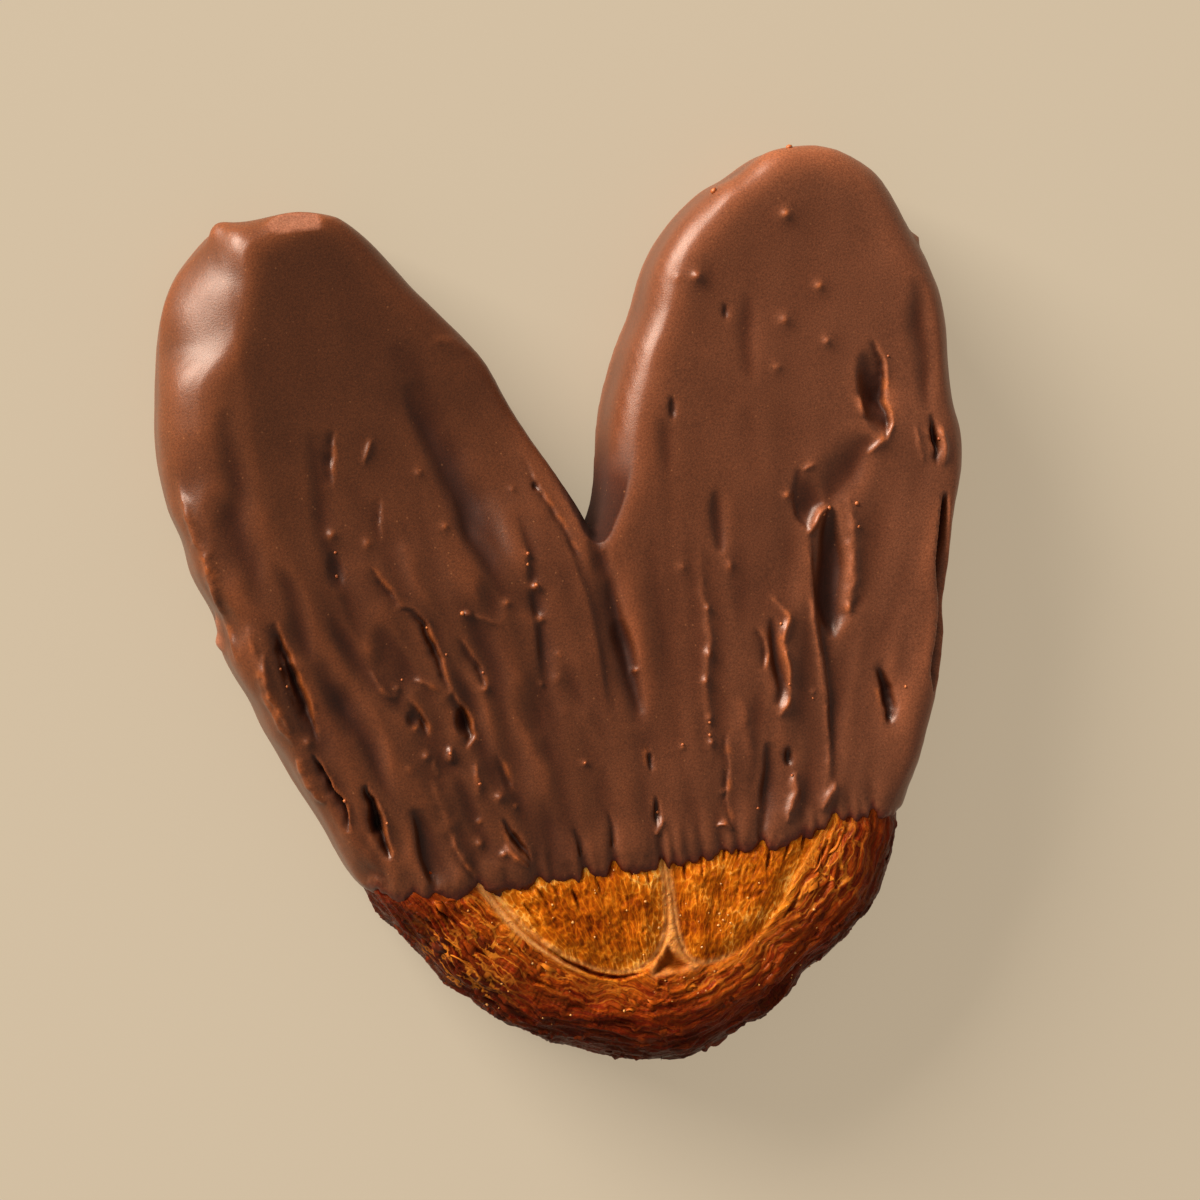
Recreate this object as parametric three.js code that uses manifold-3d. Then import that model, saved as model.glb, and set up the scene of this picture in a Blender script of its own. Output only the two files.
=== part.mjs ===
import * as THREE from "three";
import Module from "manifold-3d";
import { mergeVertices } from "three/addons/utils/BufferGeometryUtils.js";

// A palmier: laminated dough rolled in from both ends, sliced, and baked lying on a cut
// face, so that the two rolls open into two long lobes held by one wrap round the base.
// It is dipped in milk chocolate, lobes first, up to a line across the base.
// Millimetres. It lies on its back: +X across, +Y from the bare base to the two tips,
// +Z out of the face. The origin is on the table, under the middle of its box.

// Driving dimensions
const THICKNESS = 15; // over the chocolate
const COAT = 1.2; // chocolate over the pastry, on every side
const GAP = 0.3; // kept between the two solids
const DIP_Y = -29; // where the chocolate ends
const NOTCH_Y = 9.5; // the foot of the V between the lobes
const BASE_Y = -53.7; // the foot of the outline
const BASE_SHIFT = 2; // the base stands this far to the right of the lobes' middle
const FACE_ROUND = 5.5; // width of the rounded edge of the face on the outside
const INNER_ROUND = 3; // the same in the V
const FACE_DROP = 6.5; // height of that rounded edge
const BACK_ROUND = 2.5; // width and height of the rounded edge at the table
const LOBE_CROWN = 0.5; // how far the middle of a lobe swells over its edge
const LEFT_FALL = 2.5; // the left lobe's face falls this far towards the V
const LAYER_PITCH = 2.6; // from one crest of the wrap's layers to the next
const LAYER_DEPTH = 0.3;
const OUTLINE_POINTS = 118;
const BACK_STEPS = 2;
const FACE_STEPS = 4;

// One lobe's outer line, from the V over the tip to the base, as distance from the
// middle and height. The other lobe is its mirror image.
const LOBE_EDGE = [
  [2.8, 16.5],
  [7, 27.5],
  [12.3, 37.8],
  [19.5, 47.6],
  [28, 52.4],
  [36.8, 50.8],
  [43.3, 44],
  [47, 32.5],
  [47.4, 19.5],
  [44.5, 6],
  [40.5, -8],
  [35.5, -22.5],
  [31, -33.7],
  [22.7, -43.3],
  [12.4, -50],
];

// The seams that show on the bare base: round each roll, and the small gap between them.
const LEFT_ROLL = [
  [-19, -27.5],
  [-11.5, -38],
  [-6.5, -41.2],
  [-2.5, -42.3],
  [0.6, -41.2],
  [3, -37.5],
  [3.4, -27],
];
const RIGHT_ROLL = [
  [5, -27],
  [4.8, -38.5],
  [7.5, -42.5],
  [12, -42],
  [18, -36],
  [26, -27],
];
const SEAM_RADIUS = 0.8;
const ROLL_GAP = [
  [0.9, -42],
  [6.2, -42],
  [4, -38.4],
];
const ROLL_GAP_DEPTH = 3;

const wasm = await Module();
wasm.setup();

const smooth = THREE.MathUtils.smoothstep;

// The cut faces' outline, counter-clockwise and evenly spaced, with outward normals.
const outline = (() => {
  const shift = (y) => BASE_SHIFT * smooth(-y, -20, 20);
  const lobe = (sign) =>
    LOBE_EDGE.map(([x, y]) => new THREE.Vector3(shift(y) + sign * x, y, 0));
  const points = [
    new THREE.Vector3(shift(BASE_Y), BASE_Y, 0),
    ...lobe(1).reverse(),
    new THREE.Vector3(shift(NOTCH_Y), NOTCH_Y, 0),
    ...lobe(-1),
  ];
  const line = new THREE.CatmullRomCurve3(points, true, "centripetal")
    .getSpacedPoints(OUTLINE_POINTS)
    .slice(0, -1);
  return line.map((p, i) => {
    const before = line.at(i - 1);
    const after = line[(i + 1) % line.length];
    const normal = new THREE.Vector2(after.y - before.y, before.x - after.x);
    return { x: p.x, y: p.y, normal: normal.normalize() };
  });
})();

// How wide the face's rounded edge is at a point of the outline: narrow in the V.
function roundAt({ x, y, normal }) {
  const towardsV = -2 * normal.x * Math.sign(x - BASE_SHIFT / 4) * smooth(y, 5, 20);
  const share = THREE.MathUtils.clamp(towardsV, 0, 1);
  return THREE.MathUtils.lerp(FACE_ROUND, INNER_ROUND, share);
}

// The left lobe's face leans down towards the V.
function lobeFall(x, y) {
  const inner = -7;
  const outer = -38;
  const across = THREE.MathUtils.clamp((x - outer) / (inner - outer), 0, 1);
  return x < 0 ? -LEFT_FALL * across * smooth(y, 5, 30) : 0;
}

// The crests of the wrap's layers on the bare base.
function wrapLayers(y, fromEdge) {
  const onBase = smooth(DIP_Y - y, 0, 6);
  return -LAYER_DEPTH * onBase * (1 - Math.cos((2 * Math.PI * fromEdge) / LAYER_PITCH));
}

// A solid of the outline drawn in by inset, from height low to high, with rounded edges
// and a face that swells a little inwards.
function slab(inset, low, high) {
  const rings = [];
  const addRing = (widthAt, height, onFace) => {
    const ring = outline.map((p) => {
      const width = inset + widthAt(p);
      const x = p.x - p.normal.x * width;
      const y = p.y - p.normal.y * width;
      const raised = onFace ? lobeFall(x, y) + wrapLayers(y, width - inset) : 0;
      return [x, y, height + raised];
    });
    rings.push(ring);
  };
  for (let k = 0; k <= BACK_STEPS; k++) {
    const a = (k / BACK_STEPS) * (Math.PI / 2);
    const width = BACK_ROUND * (1 - Math.sin(a));
    addRing(() => width, low + BACK_ROUND * (1 - Math.cos(a)), false);
  }
  for (let k = 0; k <= FACE_STEPS; k++) {
    const a = (k / FACE_STEPS) * (Math.PI / 2);
    const height = high - FACE_DROP * (1 - Math.sin(a));
    addRing((p) => roundAt(p) * (1 - Math.cos(a)), height, true);
  }
  for (const swell of [0.5, 0.85, 1])
    addRing((p) => roundAt(p) + 3.9 * swell ** 2, high + LOBE_CROWN * swell, true);

  const n = outline.length;
  const triangles = [];
  for (let r = 0; r + 1 < rings.length; r++)
    for (let i = 0; i < n; i++) {
      const j = (i + 1) % n;
      const [a, b, c, d] = [r * n + i, r * n + j, (r + 1) * n + j, (r + 1) * n + i];
      triangles.push(a, b, c, a, c, d);
    }
  const addCap = (r, facesUp) => {
    const flat = rings[r].map(([x, y]) => new THREE.Vector2(x, y));
    for (const [a, b, c] of THREE.ShapeUtils.triangulateShape(flat, [])) {
      const [p, q] = facesUp ? [b, c] : [c, b];
      triangles.push(r * n + a, r * n + p, r * n + q);
    }
  };
  addCap(0, false);
  addCap(rings.length - 1, true);
  return new wasm.Manifold(
    new wasm.Mesh({
      numProp: 3,
      vertProperties: new Float32Array(rings.flat(2)),
      triVerts: new Uint32Array(triangles),
    }),
  );
}

// A closed three.js geometry as a solid.
function solid(geometry) {
  geometry.deleteAttribute("normal");
  geometry.deleteAttribute("uv");
  const merged = mergeVertices(geometry, 1e-4);
  return new wasm.Manifold(
    new wasm.Mesh({
      numProp: 3,
      vertProperties: merged.attributes.position.array,
      triVerts: new Uint32Array(merged.index.array),
    }),
  );
}

// A solid as a named mesh.
function mesh(name, body, color, roughness) {
  const { vertProperties, triVerts } = body.getMesh();
  const geometry = new THREE.BufferGeometry()
    .setAttribute("position", new THREE.BufferAttribute(vertProperties, 3))
    .setIndex(new THREE.BufferAttribute(triVerts, 1));
  const material = new THREE.MeshStandardMaterial({ color, roughness, metalness: 0 });
  const made = new THREE.Mesh(geometry, material);
  made.name = name;
  return made;
}

// A round-bottomed cut along a line on a face at the given height.
function seamCut(points, height) {
  const path = new THREE.CatmullRomCurve3(
    points.map(([x, y]) => new THREE.Vector3(x, y, height)),
  );
  const section = new THREE.Shape().absarc(0, 0, SEAM_RADIUS, 0, 2 * Math.PI);
  const steps = Math.round(path.getLength() / 2);
  const options = { extrudePath: path, steps, curveSegments: 6, bevelEnabled: false };
  return solid(new THREE.ExtrudeGeometry(section, options));
}

// The triangular gap between the feet of the two rolls.
function rollGap(height) {
  const gap = new THREE.Shape(ROLL_GAP.map(([x, y]) => new THREE.Vector2(x, y)));
  const depth = 2 * ROLL_GAP_DEPTH;
  const cut = new THREE.ExtrudeGeometry(gap, { depth, bevelEnabled: false });
  return solid(cut.translate(0, 0, height - ROLL_GAP_DEPTH));
}

// The hollow where the lobes meet, below the V. growth widens and deepens it.
function valley(growth) {
  const hollow = new THREE.SphereGeometry(1, 16, 12)
    .scale(2.4 + growth, 15 + growth, 2.2 + growth)
    .rotateZ(THREE.MathUtils.degToRad(6))
    .translate(1.1, -1.5, THICKNESS + LOBE_CROWN);
  return solid(hollow);
}

// Where the chocolate is: above a line with a scalloped edge, on all sides.
function dippedSpace() {
  const reach = 70;
  const edge = new THREE.Shape();
  edge.moveTo(-reach, reach);
  for (let x = -39; x <= 43; x += 1.64) {
    const scallop = 0.5 * Math.sin(1.9 * x) + 0.35 * Math.sin(0.83 * x + 1);
    edge.lineTo(x, DIP_Y + scallop);
  }
  edge.lineTo(reach, DIP_Y);
  edge.lineTo(reach, reach);
  const options = { depth: 3 * THICKNESS, bevelEnabled: false };
  return solid(new THREE.ExtrudeGeometry(edge, options).translate(0, 0, -THICKNESS));
}

// The pastry runs through the whole form. Its base shows the rolls and the wrap's layers.
function pastry() {
  const face = THICKNESS - COAT;
  return slab(COAT, COAT, face)
    .subtract(valley(COAT))
    .subtract(seamCut(LEFT_ROLL, face + LOBE_CROWN))
    .subtract(seamCut(RIGHT_ROLL, face + LOBE_CROWN))
    .subtract(rollGap(face + LOBE_CROWN));
}

// The chocolate: a shell over the dipped part, open at the dip line.
function chocolateCoat() {
  const inside = COAT - GAP;
  const space = slab(inside, inside, THICKNESS - inside).subtract(valley(inside));
  return slab(0, 0, THICKNESS)
    .subtract(valley(0))
    .intersect(dippedSpace())
    .subtract(space);
}

const group = new THREE.Group();
group.add(mesh("pastry", pastry(), 0xb4691f, 0.5));
group.add(mesh("chocolate_coat", chocolateCoat(), 0x5f4032, 0.4));

export default group;
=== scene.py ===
import math
import random

import bpy
import numpy as np
from mathutils import Matrix, Vector, noise
from mathutils.kdtree import KDTree


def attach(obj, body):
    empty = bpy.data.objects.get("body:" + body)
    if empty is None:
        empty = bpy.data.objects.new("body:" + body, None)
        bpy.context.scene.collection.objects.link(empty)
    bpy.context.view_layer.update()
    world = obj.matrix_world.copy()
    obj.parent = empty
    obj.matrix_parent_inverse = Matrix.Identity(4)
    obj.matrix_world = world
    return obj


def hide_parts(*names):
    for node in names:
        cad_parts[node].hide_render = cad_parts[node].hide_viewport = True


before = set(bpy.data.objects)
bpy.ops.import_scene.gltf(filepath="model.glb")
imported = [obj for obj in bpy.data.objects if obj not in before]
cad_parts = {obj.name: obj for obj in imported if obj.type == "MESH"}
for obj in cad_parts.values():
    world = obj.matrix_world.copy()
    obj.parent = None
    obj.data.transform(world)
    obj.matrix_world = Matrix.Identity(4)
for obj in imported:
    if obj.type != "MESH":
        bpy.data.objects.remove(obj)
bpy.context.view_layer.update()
mm = 0.001

# Camera: over the face, a little towards the left lobe and the tips, and rolled

cameraSet = {
    "towardsLeft": 12,  # degrees off straight above
    "towardsTips": 4,
    "roll": 8,
    "distance": 430 * mm,
    "lens": 110,
    "lookAt": (-1.8 * mm, 2.9 * mm, 14 * mm),
    "slide": 1.8 * mm,  # sideways, to frame both lobes
    "clipStart": 10 * mm,
}


def makeCamera(cfg):
    left = math.radians(cfg["towardsLeft"])
    tips = math.radians(cfg["towardsTips"])
    back = Vector((-math.sin(left) * math.cos(tips), math.sin(tips), math.cos(left) * math.cos(tips)))
    right = Vector((0, 1, 0)).cross(back).normalized()
    up = back.cross(right)
    turn = Matrix.Rotation(math.radians(-cfg["roll"]), 3, back)
    right = turn @ right
    up = turn @ up
    place = Vector(cfg["lookAt"]) + back * cfg["distance"] + right * cfg["slide"]
    bpy.ops.object.camera_add()
    cam = bpy.context.object
    cam.name = "camera"
    cam.data.lens = cfg["lens"]
    cam.data.clip_start = cfg["clipStart"]
    cam.matrix_world = Matrix.Translation(place) @ Matrix((right, up, back)).transposed().to_4x4()
    bpy.context.scene.camera = cam
    print("camera made")
    return np.array(place), right, up, back


eye, viewRight, viewUp, viewBack = makeCamera(cameraSet)
towardEye = np.array(viewBack)

# The whole palmier, in mm

formSet = {
    "top": 15.0,  # the coated face
    "backRound": 2.6,
    "dipY": -28.6,  # the level the chocolate comes down to
    "step": 0.6,  # between the outline's points
    "bulge": 1.2,  # how far the left wall and the foot of the base stand out
    # the outline at its widest, clockwise from the foot of the V, and how wide the face's rounded edge is
    "edge": [
        (0.8, 9.6, 1.4), (3, 14.1, 2.8), (4.2, 18.5, 3.8), (4.9, 22.3, 4.2), (6.1, 25.8, 4.2),
        (8.3, 31.6, 4.1), (10.9, 35.6, 4), (13.2, 40.8, 3.8), (15.2, 43.6, 3.6), (17.5, 46, 3.6),
        (20, 47.9, 3.6), (21.6, 49.2, 3.4), (23.9, 49.8, 3.2), (27.4, 51.9, 2.8), (29.6, 52.3, 2.6),
        (33.3, 52.1, 2.8), (35.6, 51.6, 3), (38, 50.4, 3.4), (40.7, 48.6, 3.6), (42, 47, 4),
        (43.3, 44.4, 4.2), (45.3, 39.3, 4.5), (46.1, 37.4, 4.5), (47.1, 33, 3.4), (47.4, 29, 3.4),
        (46.9, 18.6, 3.4), (47.4, 16.6, 3.4), (47.4, 13.8, 3.4), (46.8, 10.4, 2.8), (45, 5, 2.8),
        (43.5, 0.2, 2.8), (42.3, -4, 2.8), (42, -7.4, 2.8), (41.1, -10.2, 2.8), (39, -16.7, 2.8),
        (36.8, -22.9, 2.8), (35.2, -26.4, 5), (33.7, -29.2, 5), (32.5, -32.3, 5), (30.1, -36.7, 5.2),
        (27.9, -39.3, 5.5), (24.6, -41.4, 5.5), (22.7, -43.5, 5.8), (19.2, -44.9, 6), (15.3, -48, 6),
        (13.7, -49, 6), (10.9, -49.8, 6.2), (7.9, -51.2, 6.4), (4.9, -52.1, 6.5), (0.9, -52.4, 6.5),
        (-2.5, -51.7, 6.4), (-5, -50.5, 6.2), (-10.2, -48.5, 6), (-14.7, -46, 6), (-17.8, -44.2, 5.8),
        (-20.6, -41.1, 5.5), (-23, -38.4, 5.2), (-26.7, -32.8, 5), (-29.4, -29.1, 4.8), (-31.3, -26.3, 4.5),
        (-32.5, -22.8, 4), (-33.9, -18.7, 3.8), (-36, -14.2, 3.6), (-37.7, -9.4, 3.6), (-39.4, -6, 3.4),
        (-39.9, -3.2, 3.4), (-41.5, -0.1, 3.4), (-42.8, 3.2, 3.4), (-42.7, 7, 3.4), (-44.2, 10.5, 3.4),
        (-45, 13.2, 3.4), (-45.1, 16.3, 3.4), (-46.8, 20.6, 5.8), (-47.2, 25.6, 5.8), (-46.4, 30.5, 5.8),
        (-45.4, 36.3, 5.8), (-44.5, 40, 8.5), (-43, 43.8, 8.5), (-41.6, 46.5, 8), (-39.7, 48.6, 7),
        (-37.5, 50.9, 6), (-35.8, 51.8, 5), (-34.2, 51.6, 4), (-30.2, 52, 2), (-28.8, 52.3, 1.4),
        (-23.9, 51.4, 1.3), (-22.8, 50.6, 1.8), (-20.6, 48.5, 2.5), (-18.4, 45.5, 3), (-16.3, 42.3, 3),
        (-14.6, 40.4, 3), (-10.8, 35.4, 3), (-8.4, 32, 3), (-7.7, 30.2, 3), (-5.8, 25.6, 2.8),
        (-3.6, 20.6, 2.2), (-0.9, 14.4, 0.9),
    ],
}


def smooth(low, high, x):
    t = np.clip((x - low) / (high - low), 0, 1)
    return t * t * (3 - 2 * t)


def bell(x):
    return np.exp(-(x**2))


def blur(line, times):
    for _ in range(times):
        line = (np.roll(line, 1, axis=0) + 2 * line + np.roll(line, -1, axis=0)) / 4
    return line


def evenLine(points, step, closed):
    # a line through the points, with a point at every step
    p = np.array(points, float)
    if closed:
        p = np.vstack([p, p[:1]])
    run = np.concatenate([[0], np.cumsum(np.linalg.norm(np.diff(p[:, :2], axis=0), axis=1))])
    count = max(2, int(round(run[-1] / step)) + 1)
    at = np.linspace(0, run[-1], count)
    line = np.stack([np.interp(at, run, p[:, k]) for k in range(p.shape[1])], axis=1)
    return line[:-1] if closed else line


outline = blur(evenLine(formSet["edge"], formSet["step"], True), 4)
softened = blur(outline[:, :2], 40)
tangent = np.roll(softened, -1, axis=0) - np.roll(softened, 1, axis=0)
outward = np.stack([-tangent[:, 1], tangent[:, 0]], axis=1)
outward /= np.linalg.norm(outward, axis=1)[:, None]
edgeWidth = blur(outline[:, 2:], 20)[:, 0]
bulge = smooth(0.1, 0.8, -outward[:, 0]) * smooth(-12, -25, outline[:, 0])  # outer wall of the left lobe
bulge = np.maximum(bulge, smooth(0.4, 0.9, -outward[:, 1]))  # foot of the base
outline[:, :2] += outward * formSet["bulge"] * blur(bulge[:, None], 20)
print("outline drawn,", len(outline), "points")


def startObject(name):
    piece = bpy.context.object
    piece.name = name
    piece.data.name = name
    return piece


def pull(data, key, size=1, kind=np.float32):
    # the value of every vertex, edge, loop or face
    values = np.empty(len(data) * size, kind)
    data.foreach_get(key, values)
    return values if size == 1 else values.reshape(-1, size)


def verts(piece):
    return pull(piece.data.vertices, "co", 3).astype(float) / mm


def normals(piece):
    return pull(piece.data.vertices, "normal", 3).astype(float)


def setVerts(piece, co):
    piece.data.vertices.foreach_set("co", (co * mm).ravel())
    piece.data.update()


def saveValues(piece, **values):
    # for the materials to read
    for name, value in values.items():
        layer = piece.data.attributes.new(name, "FLOAT", "POINT")
        layer.data.foreach_set("value", np.array(value, np.float32))


def alone(piece):
    bpy.ops.object.select_all(action="DESELECT")
    piece.select_set(True)
    bpy.context.view_layer.objects.active = piece


def editAll(piece):
    alone(piece)
    bpy.ops.object.mode_set(mode="EDIT")
    bpy.ops.mesh.select_all(action="SELECT")


def faceOutwards(piece):
    editAll(piece)
    bpy.ops.mesh.normals_make_consistent(inside=False)
    bpy.ops.object.mode_set(mode="OBJECT")


def loft(name, rings):
    # a circle shaped to the first ring, then extruded from ring to ring and closed
    bpy.ops.object.select_all(action="DESELECT")
    bpy.ops.mesh.primitive_circle_add(vertices=len(rings[0]), radius=40 * mm, fill_type="NOTHING")
    piece = startObject(name)
    editAll(piece)
    bpy.ops.mesh.edge_face_add()
    for _ in rings[1:]:
        bpy.ops.mesh.extrude_region_move(TRANSFORM_OT_translate={"value": (0, 0, 1 * mm)})
    bpy.ops.object.mode_set(mode="OBJECT")
    setVerts(piece, np.vstack(rings))
    faceOutwards(piece)
    return piece


def bodyRings(inset, low, top):
    rings = []
    line = outline[:, :2]
    drop = np.clip(edgeWidth * 1.1, 2.5, 8.0)
    slope = 0.6 * smooth(4.9, 7.5, edgeWidth) * (outline[:, 1] > -20)  # a flatter bevel on the left lobe

    def ring(width, height):
        flat = line - outward * np.broadcast_to(inset + width, len(line))[:, None]
        rings.append(np.column_stack([flat, np.broadcast_to(height, len(line))]))

    # the flat back and its rounded edge, then the face's edge
    r = formSet["backRound"]
    ring(2.2 * r, low)
    for a in np.radians((0, 30, 60, 90)):
        ring(r * (1 - math.sin(a)), low + r * (1 - math.cos(a)))
    for a in np.radians((0, 15, 30, 45, 60, 75, 90)):
        across = (1 - slope) * (1 - math.cos(a)) + slope * a / math.radians(90)
        down = (1 - slope) * (1 - math.sin(a)) + slope * (1 - a / math.radians(90))
        ring(edgeWidth * across, top - drop * down)
    return rings


def remesh(piece, size):
    mod = piece.modifiers.new("remesh", "REMESH")
    mod.mode = "VOXEL"
    mod.voxel_size = size * mm
    alone(piece)
    bpy.ops.object.modifier_apply(modifier=mod.name)


def refine(piece, test):
    # subdivides the faces whose centre (mm) and normal pass the test
    editAll(piece)
    bpy.ops.mesh.select_mode(type="FACE")
    bpy.ops.mesh.select_all(action="DESELECT")
    bpy.ops.object.mode_set(mode="OBJECT")
    faces = piece.data.polygons
    faces.foreach_set("select", test(pull(faces, "center", 3) / mm, pull(faces, "normal", 3)))
    bpy.ops.object.mode_set(mode="EDIT")
    bpy.ops.mesh.subdivide(number_cuts=1)
    bpy.ops.object.mode_set(mode="OBJECT")


def refineWhere(piece, values, span):
    # subdivides the faces across which the value changes by more than span
    mine = values[pull(piece.data.loops, "vertex_index", kind=np.int32)]
    start = pull(piece.data.polygons, "loop_start", kind=np.int32)
    change = np.maximum.reduceat(mine, start) - np.minimum.reduceat(mine, start)
    refine(piece, lambda c, n: change > span)


def relax(piece, times):
    editAll(piece)
    bpy.ops.mesh.vertices_smooth(factor=0.5, repeat=times)
    bpy.ops.object.mode_set(mode="OBJECT")


def treeOf(points):
    tree = KDTree(len(points))
    for i, p in enumerate(points.tolist()):
        tree.insert(p, i)
    tree.balance()
    return tree


def withHeight(at, height=0.0):
    return np.column_stack([at, np.full(len(at), height)])


def distances(co):
    # from the outline in plan, and how far round it, in mm
    tree = treeOf(withHeight(outline[:, :2]))
    found = np.array([tree.find((x, y, 0))[1:] for x, y, _ in co.tolist()])
    return found[:, 1], found[:, 0] * formSet["step"]


def lumps(co, size, seed):
    # soft noise, about -1 to 1, with lumps of that size in mm
    return np.array([noise.noise(p) for p in (co / size + 7.3 * seed).tolist()])


def relief(piece, co, times):
    # how far each corner stands out of the mean of those around it
    a, b = pull(piece.data.edges, "vertices", 2, np.int32).T
    n = len(co)
    count = np.bincount(a, minlength=n) + np.bincount(b, minlength=n)
    level = co
    for _ in range(times):
        total = [np.bincount(a, v[b], n) + np.bincount(b, v[a], n) for v in level.T]
        level = np.stack(total, axis=1) / np.maximum(count, 1)[:, None]
    return ((co - level) * normals(piece)).sum(1)


# Marks on the face are placed as the camera sees them, in mm from the foot of the base

foot = np.array([1.8, 49.1])
faceHeight = 14


def seenAt(co):
    e = eye / mm
    share = (e[2] - faceHeight) / (e[2] - co[:, 2])
    return e[:2] + (co[:, :2] - e[:2]) * share[:, None] + foot


def lineOffset(at, line):
    # how far each place is from the line, plus on its left, and how far along, 0 to 1
    p = evenLine(line, 0.7, False)
    if len(p) > 4:
        p[1:-1] = (p[:-2] + 2 * p[1:-1] + p[2:]) / 4
    best = np.full(len(at), 1e9)
    offset = np.zeros(len(at))
    along = np.zeros(len(at))
    for i in range(len(p) - 1):
        d = p[i + 1] - p[i]
        u = np.clip(((at - p[i]) @ d) / (d @ d), 0, 1)
        off = at - p[i] - u[:, None] * d
        far = np.linalg.norm(off, axis=1)
        near = far < best
        best[near] = far[near]
        turn = d[0] * off[:, 1] - d[1] * off[:, 0]
        offset[near] = (np.sign(turn) * far)[near]
        along[near] = ((i + u) / (len(p) - 1))[near]
    return offset, along


def stroke(at, kind, line, width, height, rough=0.3):
    # height of one mark at each place, and how near its crest or lip each place is
    lift = np.zeros(len(at))
    crest = np.zeros(len(at))
    p = np.array(line, float)
    reach = 6 * width + 1.5
    near = np.all((at > p.min(0) - reach) & (at < p.max(0) + reach), axis=1)
    if not near.any():
        return lift, crest
    here = at[near]
    s, along = lineOffset(here, line)
    flat = withHeight(here, 10.0 * width)
    if kind in ("ridge", "slit", "step"):
        s = s + rough * width * lumps(flat, 1.5, len(line)) + 0.25 * lumps(flat, 3.5, 4)
    else:
        s = s + 0.45 * width * lumps(flat, 5, len(line))
    ends = np.sin(math.pi * np.clip(along, 0, 1))
    taper = ends ** (0.9 if kind == "slit" else 0.6)
    w = width * (0.35 + 0.65 * taper)
    if kind in ("groove", "trough", "fall", "bank"):
        uneven = 1 + (0.15 if kind == "trough" else 0.3) * lumps(flat, 4, 3)
    else:
        uneven = 1 + 0.45 * lumps(flat, 2.4, 3) + 0.25 * lumps(flat, 0.9, 6)
    if kind == "ridge":
        shape = 1.15 / (1 + (s / w) ** 2) ** 1.6
        crest[near] = taper * bell(s / w) * (uneven > 0.85)
    elif kind == "groove":
        shape = -bell(s / w)
    elif kind == "slit":
        w = w * (1 + 0.35 * lumps(flat, 1.1, 17))
        shape = -smooth(1.3 * w, 0.25 * w, np.abs(s))
        lip = bell((s + 1.45 * w) / 0.28)
        shape = shape + 0.12 * lip
        crest[near] = taper * lip
    elif kind == "cleft":  # a smooth deep slit
        shape = -smooth(1.15 * w, 0.45 * w, np.abs(s))
        uneven = 1
    elif kind == "trough":
        shape = -np.exp(-np.abs(s / w) ** 3)
    elif kind == "fall":  # drops towards the right and rises slowly again
        shape = -smooth(0.7 * w, -0.9 * w, s) * np.exp(-np.maximum(-s - 0.5 * w, 0) / (2.6 * w))
    elif kind == "bank":  # a soft-edged hollow on the left
        shape = -smooth(-0.8, 1.0, s) * bell(s / (1.7 * w))
    else:  # a step, with a hollow that fades out on its left
        out = np.maximum(s, 0)
        fall = 0.5 * np.exp(-out / w) + 0.12 * np.exp(-out / (2 * w)) + 0.38 * bell(s / w)
        fall = fall * smooth(-0.12, 0.2, s)
        lip = bell((s + 0.18) / 0.3)
        shape = 0.2 * lip - fall
        crest[near] = taper * lip
    lift[near] = height * shape * taper * uneven
    return lift, np.clip(crest, 0, 1)


def spot(at, x, y, radius, height, long=1.0, turn=0.0):
    # height of a round or oval bump or dent
    d = at - (x, y)
    c, s = math.cos(math.radians(turn)), math.sin(math.radians(turn))
    across = d[:, 0] * c + d[:, 1] * s
    up = (d[:, 1] * c - d[:, 0] * s) / long
    r = np.sqrt(across**2 + up**2) / radius
    if height < 0:
        return height * np.clip(1 - r**2, 0, 1) ** 1.4
    return height * (0.6 * bell(r / 0.5) + 0.4 * bell(r / 1.1))


# The chocolate

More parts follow.
